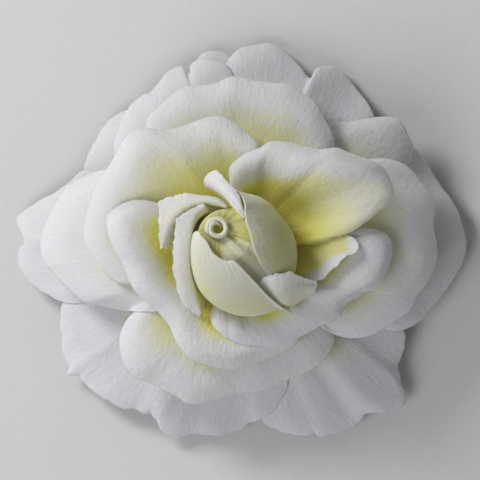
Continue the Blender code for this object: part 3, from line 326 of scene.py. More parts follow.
def ring_petal(name, rank):
    """Petal surface from its root on the stem to its rim, with its tone and rim girth."""
    petal = {**RING_DEFAULTS[name.split("_")[1]], **FINISH[name]}
    axis = np.array(ROSE_AXIS)
    rim = spline(RING_PETALS[name], RING_COLUMNS)
    rim[:, :2] += ROSE_EYE
    girth = running_length(rim[:, :2])
    around = girth / girth[-1]
    side = np.clip(np.minimum(girth, girth[-1] - girth) / CORNER_FADE, 0, 1)

    # Root bearings run evenly; the meridians are cubic curves from root to rim.
    bearing = np.unwrap(np.arctan2(rim[:, 1] - axis[1], rim[:, 0] - axis[0]))
    bearing = np.linspace(bearing[0], bearing[-1], RING_COLUMNS)
    root_radius = TOP_PETAL_ROOT + PETAL_ROOT_SPREAD * rank
    root_z = LOWEST_PETAL_Z + PETAL_ROOT_STEP * (len(RING_PETALS) - 1 - rank)
    root = np.column_stack([axis[0] + root_radius * np.cos(bearing),
                            axis[1] + root_radius * np.sin(bearing),
                            np.full(RING_COLUMNS, root_z)])
    out = rim - root
    out[:, 2] = 0.0
    run = np.linalg.norm(out, axis=1)[:, None]
    out /= run
    share = run / run.max()
    up = np.array([0.0, 0.0, 1.0])
    foot_run, foot_rise = petal["foot"]
    lip_run = petal["lip"][0]
    lip_rise = along_rim(petal["lip"][1], around)[:, None]
    p1 = root + out * foot_run * run + up * foot_rise * share
    p2 = rim - out * lip_run * run + up * lip_rise * share
    t = np.linspace(0.0, 1.0, RING_ROWS)[:, None, None]
    t = 1 - (1 - t) ** ROW_CROWDING
    s = 1.0 - t
    grid = s ** 3 * root + 3 * t * s ** 2 * p1 + 3 * t * t * s * p2 + t ** 3 * rim
    from_rim = np.linalg.norm(grid - rim, axis=2)

    # The rim rolls down and ruffles, and the face has soft creases.
    drop = along_rim(petal["roll"][0], around)
    near = np.clip(1 - from_rim / petal["roll"][1], 0, 1)
    grid[..., 2] -= drop * near ** 2 * side
    height, waves, phase = petal["ruffle"]
    drift = 1.6 * smooth_noise(rank + 210, girth, girth[-1] / 3)
    wave = np.sin(around * waves * 2 * math.pi + phase + drift)
    wave = 0.6 * wave + smooth_noise(rank + 90, girth, 9.0)
    reach = np.clip(1 - from_rim / RUFFLE_REACH, 0, 1) ** 1.5
    grid[..., 2] += height * reach * wave * side
    crease = smooth_noise(rank + 130, girth, 3.0) * 0.5 + smooth_noise(rank + 170, girth, 6.5)
    middle = np.sin(np.linspace(0, math.pi, RING_ROWS)) ** 2
    grid[..., 2] += FACE_CREASE * middle[:, None] * crease * side

    # The cut edge is ragged, with a few nicks.
    tangent = np.gradient(rim[:, :2], axis=0)
    tangent /= np.linalg.norm(tangent, axis=1)[:, None] + TINY
    normal = np.column_stack([tangent[:, 1], -tangent[:, 0]])
    normal *= np.sign(np.sum(normal * (rim[:, :2] - axis), axis=1).mean())
    rag = (smooth_noise(rank, girth, 2.6) + 0.8 * smooth_noise(rank + 50, girth, 0.9)) * side
    nick = np.zeros(RING_COLUMNS)
    for x, y, depth, half in petal["nicks"]:
        gap = np.hypot(rim[:, 0] - ROSE_EYE[0] - x, rim[:, 1] - ROSE_EYE[1] - y)
        nick -= depth * np.exp(-((girth - girth[gap.argmin()]) / half) ** 2)
    at_edge = np.clip(1 - from_rim / RAG_REACH, 0, 1)[..., None]
    grid[..., :2] += at_edge * normal * (petal["rag"] * rag + nick)[:, None]

    # The rim is white and the face yellows towards the stem.
    pale_low = along_rim(petal["pale"][0], around)
    pale_high = along_rim(petal["pale"][1], around)
    band = ease(np.clip(1 - (from_rim - pale_low) / (pale_high - pale_low), 0, 1))
    near_r, near_tone, far_r, far_tone = petal["face"]
    reach_out = np.linalg.norm(grid[..., :2] - axis, axis=2)
    face_tone = np.interp(reach_out, [near_r, far_r], [near_tone, far_tone])
    tone = face_tone + (1 - face_tone) * band
    return grid, tone, girth


def bud_point(azimuth, elevation, offset):
    """Point of the leaning egg that the bud petals wrap; angles in degrees."""
    a = np.radians(azimuth)
    e = np.radians(elevation)
    lean = np.sin(e) ** 2
    mid = np.array(BUD_MID)
    top = np.array((0.0, 0.0))
    low = np.array(ROSE_AXIS) - np.array(ROSE_EYE)
    end = np.where((e > 0)[..., None], top, low)
    centre = mid + (end - mid) * lean[..., None]
    tall = np.where(e > 0, BUD_UP, BUD_DOWN)
    flat = BUD_RADIUS * np.cos(e) + offset * np.cos(e)
    x = ROSE_EYE[0] + centre[..., 0] + flat * np.cos(a)
    y = ROSE_EYE[1] + centre[..., 1] + flat * np.sin(a)
    z = BUD_MID_Z + (tall + offset) * np.sin(e)
    return np.stack([x, y, z], -1)


def bud_petal(stations, columns):
    """Petal wrapping the bud, root to top edge, and the girth of that edge."""
    st = np.array(stations, float)
    line = spline(np.column_stack([st[:, 0], st[:, 1] * 0.5, st[:, 1:]]), columns)
    top = np.maximum(line[:, 2], BUD_PETAL_ROOT + LEAST_WRAP)
    t = np.linspace(0.0, 1.0, BUD_WRAP_ROWS)[:, None]
    elevation = BUD_PETAL_ROOT + (top - BUD_PETAL_ROOT) * t
    azimuth = np.broadcast_to(line[:, 0], elevation.shape)
    grid = bud_point(azimuth, elevation, np.broadcast_to(line[:, 3], elevation.shape))
    opening = np.clip((t - FLARE_START) / (1 - FLARE_START), 0.0, 1.0) ** 2
    angle = np.radians(azimuth)
    grid[..., 0] += opening * line[:, 4] * np.cos(angle)
    grid[..., 1] += opening * line[:, 4] * np.sin(angle)
    return grid, running_length(grid[-1])


def through(guides, across, along):
    """Smooth surface through guide lines given from the eye, each (x, y, z)."""
    lines = np.array([spline(guide, across) for guide in guides])
    lines[..., 0] += ROSE_EYE[0]
    lines[..., 1] += ROSE_EYE[1]
    ends = np.concatenate([[2 * lines[0] - lines[1]], lines, [2 * lines[-1] - lines[-2]]])
    t = np.linspace(0, len(lines) - 1, along)
    i = np.minimum(t.astype(int), len(lines) - 2)
    f = (t - i)[:, None, None]
    p0, p1, p2, p3 = ends[i], ends[i + 1], ends[i + 2], ends[i + 3]
    grid = 0.5 * (2 * p1 + (p2 - p0) * f + (2 * p0 - 5 * p1 + 4 * p2 - p3) * f ** 2
                  + (3 * p1 - p0 - 3 * p2 + p3) * f ** 3)
    return grid, running_length(grid[-1])


def grid_faces(rows, columns):
    """Quads of a rows x columns grid."""
    return [(r * columns + c, r * columns + c + 1, (r + 1) * columns + c + 1, (r + 1) * columns + c)
            for r in range(rows - 1) for c in range(columns - 1)]


ABOVE_ALL = 120.0                 # height that the rays start from
DOWN = Vector((0, 0, -1))
LEAST_LEVEL = 0.35                # least cosine of a slope, so that walls don't lift a petal far
SETTLE_ROUNDS = 5
SPREAD_ROUNDS = 14                # rounds that spread each lift to its neighbours
SETTLED = 0.02                    # a lift below this ends the rounds


def rest_on(grid, tree, edges, clearance):
    """Lift a petal smoothly until it clears everything underneath it."""
    grid = grid.copy()
    rows, columns = grid.shape[:2]
    faces = grid_faces(rows, columns)
    for _ in range(SETTLE_ROUNDS):
        need = np.zeros((rows, columns))
        for r in range(rows):
            for c in range(columns):
                x, y, z = grid[r, c]
                hit, normal, _, _ = tree.ray_cast(Vector((x, y, ABOVE_ALL)), DOWN)
                if hit is not None:
                    need[r, c] = hit.z + clearance / max(abs(normal.z), LEAST_LEVEL) - z
        own = BVHTree.FromPolygons([tuple(map(float, v)) for v in grid.reshape(-1, 3)], faces)
        for x, y, z in edges:
            hit, normal, face, _ = own.ray_cast(Vector((x, y, ABOVE_ALL)), DOWN)
            if hit is None:
                continue
            short = z + clearance / max(abs(normal.z), LEAST_LEVEL) - hit.z
            if short > 0:
                i, j = divmod(face, columns - 1)
                cell = need[i:i + 2, j:j + 2]
                np.maximum(cell, short, out=cell)
        need = np.maximum(need, 0)
        if need.max() < SETTLED:
            break
        soft = need.copy()
        for _ in range(SPREAD_ROUNDS):
            wide = np.pad(soft, 1, mode="edge")
            mean = (wide[:-2, 1:-1] + wide[2:, 1:-1] + wide[1:-1, :-2] + wide[1:-1, 2:]
                    + soft) / 5.0
            soft = np.maximum(mean, need)
        grid[..., 2] += soft
    return grid


def mesh_object(name, points, faces, material, values=None):
    """Smooth-shaded mesh object from points in millimetres, with named point attributes."""
    mesh = bpy.data.meshes.new(name)
    mesh.from_pydata([tuple(MM * c for c in point) for point in points], [], faces)
    for key, data in (values or {}).items():
        kind, field = ("FLOAT", "value") if data.ndim == 1 else ("FLOAT_VECTOR", "vector")
        attribute = mesh.attributes.new(key, kind, "POINT")
        attribute.data.foreach_set(field, data.astype(np.float32).reshape(-1))
    mesh.update()
    for face in mesh.polygons:
        face.use_smooth = True
    mesh.materials.append(material)
    made = bpy.data.objects.new(name, mesh)
    bpy.context.scene.collection.objects.link(made)
    return made


def thicken(piece, thickness, offset=0.0):
    """Give a cloth surface its thickness in millimetres, centred on it by default."""
    thick = piece.modifiers.new("thickness", "SOLIDIFY")
    thick.thickness = thickness * MM
    thick.offset = offset


def stand_for(piece, name):
    """Show a piece instead of a CAD node, riding on the rose."""
    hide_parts(name)
    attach(piece, "rose")


def cloth_piece(name, parts, seed):
    """Petal cloth from grids of points, each with its tone and girth, thickened and shown instead
    of its CAD node.
    """
    points, faces, tones, coords = [], [], [], []
    tall = 0.0
    for grid, tone, girth in parts:
        rows, columns = grid.shape[:2]
        faces += [tuple(len(points) + v for v in face) for face in grid_faces(rows, columns)]
        points += list(grid.reshape(-1, 3))
        step = np.linalg.norm(np.diff(grid, axis=0), axis=2)
        length = np.concatenate([np.zeros((1, columns)), np.cumsum(step, axis=0)])
        across = np.broadcast_to(girth, (rows, columns))
        layer = np.full((rows, columns), WEAVE_LAYER * seed)
        tones.append(np.broadcast_to(tone, (rows, columns)).reshape(-1))
        coords.append(np.stack([across, length, layer], -1).reshape(-1, 3))
        tall = max(tall, float(length[-1].max()) * MM)
    piece = mesh_object(name + "_cloth", points, faces, petal_cloth,
                        {"tone": np.concatenate(tones), "weave": np.concatenate(coords)})
    fine = piece.modifiers.new("smooth", "SUBSURF")
    fine.levels = 1
    fine.render_levels = 1
    fine.boundary_smooth = "PRESERVE_CORNERS"
    thicken(piece, CLOTH)
    stand_for(piece, name)


# --------------------------------------------------------------------------- materials
def new_material(name):
    """Empty node material and its Principled shader."""
    material = bpy.data.materials.new(name)
    material.use_nodes = True
    return material, material.node_tree, material.node_tree.nodes["Principled BSDF"]


def node(tree, kind, **values):
    """Add a node, setting its attributes and named inputs."""
    made = tree.nodes.new(kind)
    for key, value in values.items():
        if hasattr(made, key):
            setattr(made, key, value)
        else:
            made.inputs[key.replace("_", " ")].default_value = value
    return made


def ramp(tree, stops, blend="EASE"):
    """Colour ramp with (position, colour) stops."""
    made = tree.nodes.new("ShaderNodeValToRGB")
    made.color_ramp.interpolation = blend
    points = made.color_ramp.elements
    while len(points) < len(stops):
        points.new(0.5)
    for point, (place, colour) in zip(points, stops):
        point.position = place
        point.color = (*colour, 1.0)
    return made


def scaled(tree, vector, scale):
    """Vector multiplied by a scale on each axis."""
    made = tree.nodes.new("ShaderNodeVectorMath")
    made.operation = "MULTIPLY"
    tree.links.new(vector, made.inputs[0])
    made.inputs[1].default_value = scale
    return made.outputs[0]


def mixed(tree, kind, factor, a, b):
    """Colour mix; each input is a socket or a plain value."""
    made = tree.nodes.new("ShaderNodeMix")
    made.data_type = "RGBA"
    made.blend_type = kind
    for socket, value in ((made.inputs[0], factor), (made.inputs[6], a), (made.inputs[7], b)):
        if isinstance(value, bpy.types.NodeSocket):
            tree.links.new(value, socket)
        else:
            socket.default_value = value
    return made.outputs[2]


def surface(tree, shader, noise, roughness, strength, distance):
    """Roughness and relief that follow one noise; roughness is its (lowest, highest)."""
    rough = ramp(tree, [(0.3, (roughness[0],) * 3), (0.7, (roughness[1],) * 3)])
    tree.links.new(noise.outputs["Fac"], rough.inputs["Fac"])
    tree.links.new(rough.outputs["Color"], shader.inputs["Roughness"])
    bump = node(tree, "ShaderNodeBump", Strength=strength, Distance=distance)
    tree.links.new(noise.outputs["Fac"], bump.inputs["Height"])
    tree.links.new(bump.outputs["Normal"], shader.inputs["Normal"])
    return bump


PETAL_STOPS = [(0.0, (0.80, 0.72, 0.07)), (0.2, (0.80, 0.755, 0.18)), (0.42, (0.80, 0.785, 0.38)),
               (0.68, (0.80, 0.80, 0.60)), (1.0, (0.80, 0.80, 0.80))]
CLOUD_SPREAD = 0.24               # how far broad clouds of dye shift the tone
STREAK_SPREAD = 0.16              # how far fibre streaks do


def petal_material(name, stops):
    """Thin starched cloth: fibre streaks from root to rim, fine weave, soft sheen."""
    material, tree, shader = new_material(name)
    link = tree.links.new
    weave = node(tree, "ShaderNodeAttribute", attribute_name="weave").outputs["Vector"]
    tone = node(tree, "ShaderNodeAttribute", attribute_name="tone").outputs["Fac"]
    streak = node(tree, "ShaderNodeTexNoise", Scale=1.0, Detail=4.0, Roughness=0.6)
    link(scaled(tree, weave, (2.6, 0.28, 1.0)), streak.inputs["Vector"])
    cloud = node(tree, "ShaderNodeTexNoise", Scale=1.0, Detail=3.0)
    link(scaled(tree, weave, (0.12, 0.10, 1.0)), cloud.inputs["Vector"])
    weave_fine = node(tree, "ShaderNodeTexNoise", Scale=1.0, Detail=2.0)
    link(scaled(tree, weave, (5.5, 2.2, 1.0)), weave_fine.inputs["Vector"])
    total = node(tree, "ShaderNodeMath", operation="ADD")
    for socket, noise, spread in ((0, cloud, CLOUD_SPREAD), (1, streak, STREAK_SPREAD)):
        shift = node(tree, "ShaderNodeMath", operation="MULTIPLY_ADD")
        link(noise.outputs["Fac"], shift.inputs[0])
        shift.inputs[1].default_value = spread
        shift.inputs[2].default_value = -spread / 2
        link(shift.outputs[0], total.inputs[socket])
    level = node(tree, "ShaderNodeMath", operation="ADD", use_clamp=True)
    link(tone, level.inputs[0])
    link(total.outputs[0], level.inputs[1])
    colours = ramp(tree, stops, "LINEAR")
    link(level.outputs[0], colours.inputs["Fac"])
    shade = ramp(tree, [(0.3, (0.88, 0.88, 0.90)), (0.7, (1.0, 1.0, 1.0))])
    link(streak.outputs["Fac"], shade.inputs["Fac"])
    base = mixed(tree, "MULTIPLY", 0.55, colours.outputs["Color"], shade.outputs["Color"])
    link(base, shader.inputs["Base Color"])
    shader.inputs["Specular IOR Level"].default_value = 0.25
    shader.inputs["Sheen Weight"].default_value = 0.25
    shader.inputs["Sheen Roughness"].default_value = 0.5
    shader.inputs["Subsurface Weight"].default_value = 0.35
    shader.inputs["Subsurface Radius"].default_value = (1.0, 0.95, 0.6)
    shader.inputs["Subsurface Scale"].default_value = 0.003
    low = node(tree, "ShaderNodeBump", Strength=0.26, Distance=0.0003)
    link(streak.outputs["Fac"], low.inputs["Height"])
    crinkle = node(tree, "ShaderNodeTexNoise", Scale=1.0, Detail=3.0, Roughness=0.55)
    link(scaled(tree, weave, (0.85, 0.55, 1.0)), crinkle.inputs["Vector"])
    middle = node(tree, "ShaderNodeBump", Strength=0.5, Distance=0.00045)
    link(crinkle.outputs["Fac"], middle.inputs["Height"])
    link(low.outputs["Normal"], middle.inputs["Normal"])
    high = surface(tree, shader, weave_fine, (0.62, 0.86), 0.4, 0.00012)
    link(middle.outputs["Normal"], high.inputs["Normal"])
    return material


def metal_material(name, colour, grain, roughness):
    """Plated steel with drawn grain, handling marks and dulled patches."""
    material, tree, shader = new_material(name)
    link = tree.links.new
    place = node(tree, "ShaderNodeTexCoord").outputs["Object"]
    lines = node(tree, "ShaderNodeTexNoise", Scale=1.0, Detail=5.0)
    link(scaled(tree, place, grain), lines.inputs["Vector"])
    patch = node(tree, "ShaderNodeTexNoise", Scale=220.0, Detail=4.0)
    link(place, patch.inputs["Vector"])
    dull = ramp(tree, [(0.35, tuple(0.78 * c for c in colour)), (0.65, colour)])
    link(patch.outputs["Fac"], dull.inputs["Fac"])
    link(dull.outputs["Color"], shader.inputs["Base Color"])
    shader.inputs["Metallic"].default_value = 1.0
    surface(tree, shader, lines, (roughness * 0.75, roughness * 1.35), 0.25, 0.00005)
    return material


def mottled_material(name, dark, light, scale, roughness, bump_depth, sheen=0.0, wash=0.86):
    """Matt material mottled by noise, with its relief."""
    material, tree, shader = new_material(name)
    link = tree.links.new
    place = node(tree, "ShaderNodeTexCoord").outputs["Object"]
    grain = node(tree, "ShaderNodeTexNoise", Scale=scale, Detail=6.0, Roughness=0.7)
    link(place, grain.inputs["Vector"])
    broad = node(tree, "ShaderNodeTexNoise", Scale=scale / 9, Detail=3.0)
    link(place, broad.inputs["Vector"])
    colours = ramp(tree, [(0.32, dark), (0.68, light)])
    link(grain.outputs["Fac"], colours.inputs["Fac"])
    patches = ramp(tree, [(0.3, (wash,) * 3), (0.7, (1.0,) * 3)])
    link(broad.outputs["Fac"], patches.inputs["Fac"])
    link(mixed(tree, "MULTIPLY", 1.0, colours.outputs["Color"], patches.outputs["Color"]),
         shader.inputs["Base Color"])
    shader.inputs["Sheen Weight"].default_value = sheen
    rough = (roughness * 0.85, min(roughness * 1.1, 1.0))
    surface(tree, shader, grain, rough, 0.6, bump_depth)
    return material


petal_cloth = petal_material("petal_cloth", PETAL_STOPS)
steel = metal_material("plated_steel", (0.66, 0.67, 0.69), (120, 2600, 2600), 0.24)
wire_steel = metal_material("spring_wire", (0.46, 0.47, 0.49), (2600, 300, 2600), 0.3)
stem_plastic = mottled_material("stem_plastic", (0.52, 0.52, 0.24), (0.62, 0.61, 0.32), 900, 0.6,
                                0.0001)
felt_wool = mottled_material("felt_wool", (0.62, 0.61, 0.57), (0.80, 0.79, 0.76), 1500, 0.95,
                             0.0005, 0.4)
glue = mottled_material("hot_glue", (0.66, 0.60, 0.44), (0.78, 0.74, 0.62), 400, 0.35, 0.0001)

for cad_name, finish in (("upper_lever", steel), ("lower_lever", steel), ("hinge_pin", steel),
                         ("hinge_spring", wire_steel), ("rose_stem", stem_plastic),
                         ("glue_pad", glue)):
    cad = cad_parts[cad_name]
    if not cad.material_slots:
        cad.data.materials.append(finish)
    for slot in cad.material_slots:
        slot.material = finish

# ---------------------------------------------------------------------- the ring petals
# Each petal settles on the pile of those below it, which starts with a plate over the felt.
felt_low, felt_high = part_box("felt_disc")
felt_radius = (felt_high.x - felt_low.x) / 2 / MM
felt_top = felt_high.z / MM
PILE_SIDES = 24
PILE_MARGIN = 1.0
turns = [2 * math.pi * i / PILE_SIDES for i in range(PILE_SIDES)]
pile_points = [(ROSE_AXIS[0] + (felt_radius + PILE_MARGIN) * math.cos(turn),
                ROSE_AXIS[1] + (felt_radius + PILE_MARGIN) * math.sin(turn), felt_top)
               for turn in turns]
pile_faces = [tuple(range(PILE_SIDES))]
pile_edges = []
for rank, petal_name in reversed(list(enumerate(RING_PETALS))):
    grid, tone, girth = ring_petal(petal_name, rank)
    pile = BVHTree.FromPolygons(pile_points, pile_faces)
    grid = rest_on(grid, pile, pile_edges, CLOTH + CLOTH_GAP)
    cloth_piece(petal_name, [(grid, tone, girth)], rank)
    start = len(pile_points)
    pile_points += [tuple(map(float, v)) for v in grid.reshape(-1, 3)]
    pile_faces += [tuple(start + v for v in face) for face in grid_faces(*grid.shape[:2])]
    pile_edges += list(grid[-1]) + list(grid[:, 0]) + list(grid[:, -1])
    pile_edges += list(grid[2::3, 1::4].reshape(-1, 3))

# ------------------------------------------------------------------------------- the bud
# Three bud petals are turned out at the edge. Guide lines run from the hidden root over the
# crest to the rim; points are (x, y from the eye, z).
BUD_FLAPS = {
    "bud_petal_upper_left": [
        [(-5, -9.5, 28.5), (-5.2, -6, 28.5), (-4.4, -2.5, 28.5), (-2.4, 0.2, 28.5), (0.2, 1.8, 29),
         (2.4, 2.4, 30)],
        [(-11, -5.5, 33), (-9.5, -2, 34), (-8, 1, 35), (-5.5, 3.2, 36), (-2.5, 4.5, 36.5),
         (0.5, 4.5, 37), (2.5, 4.2, 37)],
        [(-11.6, -5.5, 39), (-10.2, -1.5, 41), (-8.8, 1.4, 42), (-6.2, 4, 43), (-3, 5.1, 43.5),
         (0, 5, 44), (2.4, 4.3, 44)],
        [(-12.6, -5, 41.5), (-11.2, -0.6, 44), (-9.6, 2.4, 45.5), (-6.6, 4.6, 46.3),
         (-3, 5.8, 46.6), (0.2, 5.6, 46.9), (2.4, 4.6, 47)],
        [(-13.1, -5.2, 41.6), (-12.7, -0.6, 44), (-11.9, 4.4, 45.4), (-8.2, 6.2, 46.3),
         (-3.4, 6.9, 46.5), (0.1, 6.3, 46.8), (2.4, 4.9, 46.9)],
        [(-13.2, -5.4, 41.4), (-13.7, -1, 43.6), (-13.6, 3, 44.6), (-13.5, 5.6, 45.2),
         (-13.2, 6.3, 45.3), (-12.2, 6.6, 45.4), (-10.2, 7.3, 45.6), (-6.8, 7.7, 45.9),
         (-2.8, 7.4, 46.1), (0.5, 6.6, 46.4), (2.5, 5.1, 46.6)]],
    "bud_petal_left": [
        [(1, 2.6, 31), (-2.6, 0.6, 30), (-4.4, -2.5, 29), (-4.8, -6, 28.6), (-4.2, -10, 28.4),
         (-2, -14, 28)],
        [(-1.5, 3.2, 38), (-4.2, 1.5, 38), (-5.4, -2, 37), (-5.6, -6, 35), (-5.4, -10, 32),
         (-4.4, -14, 30), (-2.6, -19, 28)],
        [(-1.9, 3.6, 44), (-4.3, 1.8, 44.5), (-5.8, -1.8, 43.4), (-6.2, -6, 41), (-6, -10, 38),
         (-4.9, -15, 34.5), (-3.2, -19.8, 30.5)],
        [(-2.4, 4.8, 46.4), (-4.8, 2.4, 46.8), (-6, -1.5, 45.8), (-6.6, -6, 43.8),
         (-6.4, -10.2, 41), (-5.4, -15.4, 36.8), (-3.7, -20.6, 32)],
        [(-2.9, 5.3, 46.5), (-7, 2.8, 46.8), (-8.3, -1.2, 45.7), (-8.7, -6, 43.6),
         (-8.5, -10.6, 40.5), (-7.4, -16.2, 35.9), (-4, -21.2, 31.2)],
        [(-3.1, 5.6, 46.2), (-6.4, 3.8, 46.5), (-9, 2.4, 46.4), (-9.5, 1.8, 46.2), (-9.8, -1, 45),
         (-10.3, -5.6, 42.6), (-10.2, -10.4, 39.4), (-9.3, -15.2, 35.2), (-7.8, -18.6, 32.6),
         (-4.2, -22, 30.4)]],
    "bud_petal_low": [
        [(9.5, -16, 28), (11, -15.6, 28), (13, -14.6, 28), (15, -13.4, 28), (16.5, -12.2, 28)],
        [(15.2, -20, 33), (17, -19.4, 33), (19, -18.2, 33), (21, -16.8, 33), (23.2, -15.6, 33)],
        [(13.6, -18.8, 38), (15.4, -18.5, 39.2), (17, -18.2, 39.5), (18.8, -17.2, 39.2),
         (21, -16, 38.3), (23.4, -15, 36.8)],
        [(10.6, -15.8, 40.6), (13.2, -15.6, 42.4), (15.6, -15.4, 42.9), (18, -14.8, 42.3),
         (20.4, -14.5, 40.9), (24, -14.3, 38)],
        [(9, -13.6, 41.8), (11.6, -13.2, 43.6), (13.6, -12.8, 44), (16.6, -12.4, 43.2),
         (19, -12.6, 41.8), (21, -13.1, 40.4), (24, -13.8, 38)],
        [(8.4, -12, 42.4), (10.2, -11.9, 43.2), (12.5, -11.4, 43.4), (16, -10.9, 42.2),
         (18, -11.1, 41.1), (20, -11.9, 39.8), (22, -12.7, 38.5), (23.9, -13.2, 37.4)]],
}
FLAP_TONES = {"bud_petal_upper_left": (0.6, 0.5, 0.42, 0.7, 0.95, 1),
              "bud_petal_left": (0.5, 0.35, 0.3, 0.7, 0.92, 0.98),
              "bud_petal_low": (0.4, 0.5, 0.62, 0.8, 0.9, 0.96)}
# The right petal's upper corner is folded over into a narrow white leaf.
FOLD = [
    [(-0.6, 8.4, 32), (0.6, 7.6, 34), (1.8, 6.6, 35), (3.2, 5.2, 37), (4.8, 3.4, 39),
     (6.2, 2.2, 40)],
    [(-2.2, 9.2, 39), (0, 8.2, 41.6), (1.5, 7.2, 43.6), (3, 5.9, 45.4), (5, 3.6, 47), (6.6, 2, 48)],
    [(-2.9, 10.4, 40.8), (-0.2, 9.1, 43.4), (2, 7.8, 45.2), (3.8, 6.3, 46.4), (5.4, 4.2, 47.6),
     (6.7, 2.2, 48.1)],
    [(-2.6, 11.8, 41.2), (0.4, 10.9, 43.8), (2.4, 9.2, 45.4), (4.2, 7.4, 46.5), (5.7, 5.2, 47.5),
     (6.8, 2.4, 48)],
    [(-1.6, 12.8, 40.8), (-0.2, 13.5, 41.8), (1.2, 12.5, 43.4), (2.2, 11.2, 44.4),
     (3.7, 9.6, 45.4), (5.2, 7.8, 46.2), (5.9, 5.6, 47.1), (6.9, 2.6, 47.8)]]
FOLD_TONES = (0.5, 0.75, 0.95, 1, 0.97)


FLAP_RAG = 0.32
FLAP_COLUMNS = 110
FLAP_ROWS = 29
FOLD_RAG = 0.16
FOLD_COLUMNS = 70
FOLD_ROWS = 17
UNEVEN_ROWS = 6                   # rows next to the rim that rise and fall with it
UNEVEN_HEIGHT = 0.10

FRONT_PLEAT = 0.10                # height of the fine pleats along the front petal's edge
FRONT_PLEAT_STEP = 0.17           # girth of a pleat over two pi
FRONT_PLEAT_REACH = 7.0
FRONT_PLEAT_START = 20.0          # girth where the pleats begin
FRONT_PLEAT_FADE = 8.0


def flap(guides, tones, seed, ragged, across, along):
    """Turned-out petal edge from its guide lines, with an uneven ragged rim."""
    grid, girth = through(guides, across, along)
    last = len(tones) - 1
    tone = np.interp(np.linspace(0, last, along), range(last + 1), tones)[:, None]
    uneven = smooth_noise(seed, girth, 1.6) + 0.9 * smooth_noise(seed + 20, girth, 0.6)
    rise = np.linspace(0, 1, UNEVEN_ROWS)[:, None]
    grid[-UNEVEN_ROWS:, :, 2] += UNEVEN_HEIGHT * uneven * rise
    edge = grid[-1] - grid[-3]
    edge /= np.linalg.norm(edge, axis=1)[:, None] + TINY
    grid[-1] += edge * (ragged * uneven)[:, None]
    return grid, tone, girth


def pleat_front(grid, girth, from_edge):
    """Fine pleats drawn in along the cut edge of the front petal."""
    pleat = np.sin(girth / FRONT_PLEAT_STEP + 1.5 * smooth_noise(71, girth, 3.0))
    pleat *= 0.6 + 0.4 * smooth_noise(72, girth, 2.0)
    fade = np.clip(1 - from_edge / FRONT_PLEAT_REACH, 0, 1)
    fade = fade * np.clip((girth - FRONT_PLEAT_START) / FRONT_PLEAT_FADE, 0, 1)
    out = grid - np.array((ROSE_EYE[0] + BUD_MID[0], ROSE_EYE[1] + BUD_MID[1], BUD_MID_Z))
    out /= np.linalg.norm(out, axis=2)[..., None]
    return grid + out * (FRONT_PLEAT * pleat * fade)[..., None]


for seed, petal_name in enumerate(BUD_PETALS):
    if petal_name in BUD_WRAPS:
        wrap = BUD_WRAPS[petal_name]
        grid, girth = bud_petal(wrap["stations"], wrap["columns"])
        from_edge = np.linalg.norm(grid - grid[-1], axis=2)
        near, far = wrap["pale"]
        band = np.clip(1 - (from_edge - near) / (far - near), 0, 1)
        tone = wrap["inner_tone"] + (BUD_EDGE_TONE - wrap["inner_tone"]) * band
        if petal_name == "bud_petal_front":
            grid = pleat_front(grid, girth, from_edge)
        parts = [(grid, tone, girth)]
        if petal_name == "bud_petal_right":
            parts.append(flap(FOLD, FOLD_TONES, 65, FOLD_RAG, FOLD_COLUMNS, FOLD_ROWS))
    else:
        parts = [flap(BUD_FLAPS[petal_name], FLAP_TONES[petal_name], 60 + seed, FLAP_RAG,
                      FLAP_COLUMNS, FLAP_ROWS)]
    cloth_piece(petal_name, parts, 30 + seed)

# Core: twisted folds of yellow-green cloth between the bud petals, drawn in to the eye
CORE_COLUMNS = 180
CORE_LEVELS = list(range(-60, 0, 12)) + list(range(0, 20, 5)) + list(range(20, 59, 2))
CORE_INSET = -0.6                 # the core lies this far inside the bud petals' egg
EYE_OFFSET = (0.3, -0.4)          # where the core closes, from the rose's eye
CORE_CLOSING = ((0.55, 0.4), (0.9, 0.9), (1.0, 1.2))    # (share of the way in, sink) per ring
CORE_TONES = ([0, 3, 7, 14, 18], [0.10, 0.33, 0.26, 0.28, 0.5])    # by distance from the eye
BAND_RISE = 0.9
BAND_FOLD = 0.45
BAND_TONE = 0.26
CORE_PLEAT = 0.10
CORE_PLEAT_STEP = 0.30            # width of a pleat over two pi
CORE_GIRTH = 75.0                 # girth and row length that the weave is laid out on
CORE_ROW = 1.5
CORE_LAYER = 400.0
turn = np.arange(CORE_COLUMNS + 1) * 360.0 / CORE_COLUMNS
rings = [bud_point(turn, np.full(turn.shape, float(elevation)), np.full(turn.shape, CORE_INSET))
         for elevation in CORE_LEVELS]
eye = np.array((ROSE_EYE[0] + EYE_OFFSET[0], ROSE_EYE[1] + EYE_OFFSET[1],
                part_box("bud_core")[1].z / MM))
for pull, sink in CORE_CLOSING:
    rings.append(rings[-1] + (eye - rings[-1]) * pull - np.array((0, 0, sink)) * pull)
core_grid = np.array(rings)
# A raised ivory band sweeps from under the eye to the right; above it the wall is pleated.
core_x = core_grid[..., 0] - ROSE_EYE[0]
core_y = core_grid[..., 1] - ROSE_EYE[1]
band = np.clip((-2.4 - 0.22 * (core_x - 3.5) - core_y) / 0.7, 0, 1)
band *= np.clip((core_x - 0.6) / 1.8, 0, 1)
band = ease(band)
from_eye = np.hypot(core_x - EYE_OFFSET[0], core_y - EYE_OFFSET[1])
outside = np.clip((from_eye - 2.6) / 1.5, 0, 1)
fold_line = np.abs(np.sin((core_x * 0.78 + core_y * 0.62) / 1.15 + 0.6)) ** 0.6
pleats = CORE_PLEAT * np.sin(core_x / CORE_PLEAT_STEP) * (1 - band)
core_grid[..., 2] += outside * (BAND_RISE * band + BAND_FOLD * band * fold_line + pleats)
core_tone = np.interp(np.linalg.norm(core_grid - eye, axis=2), *CORE_TONES) + BAND_TONE * band
rise = np.cumsum(np.full(core_grid.shape[:2], CORE_ROW), axis=0)
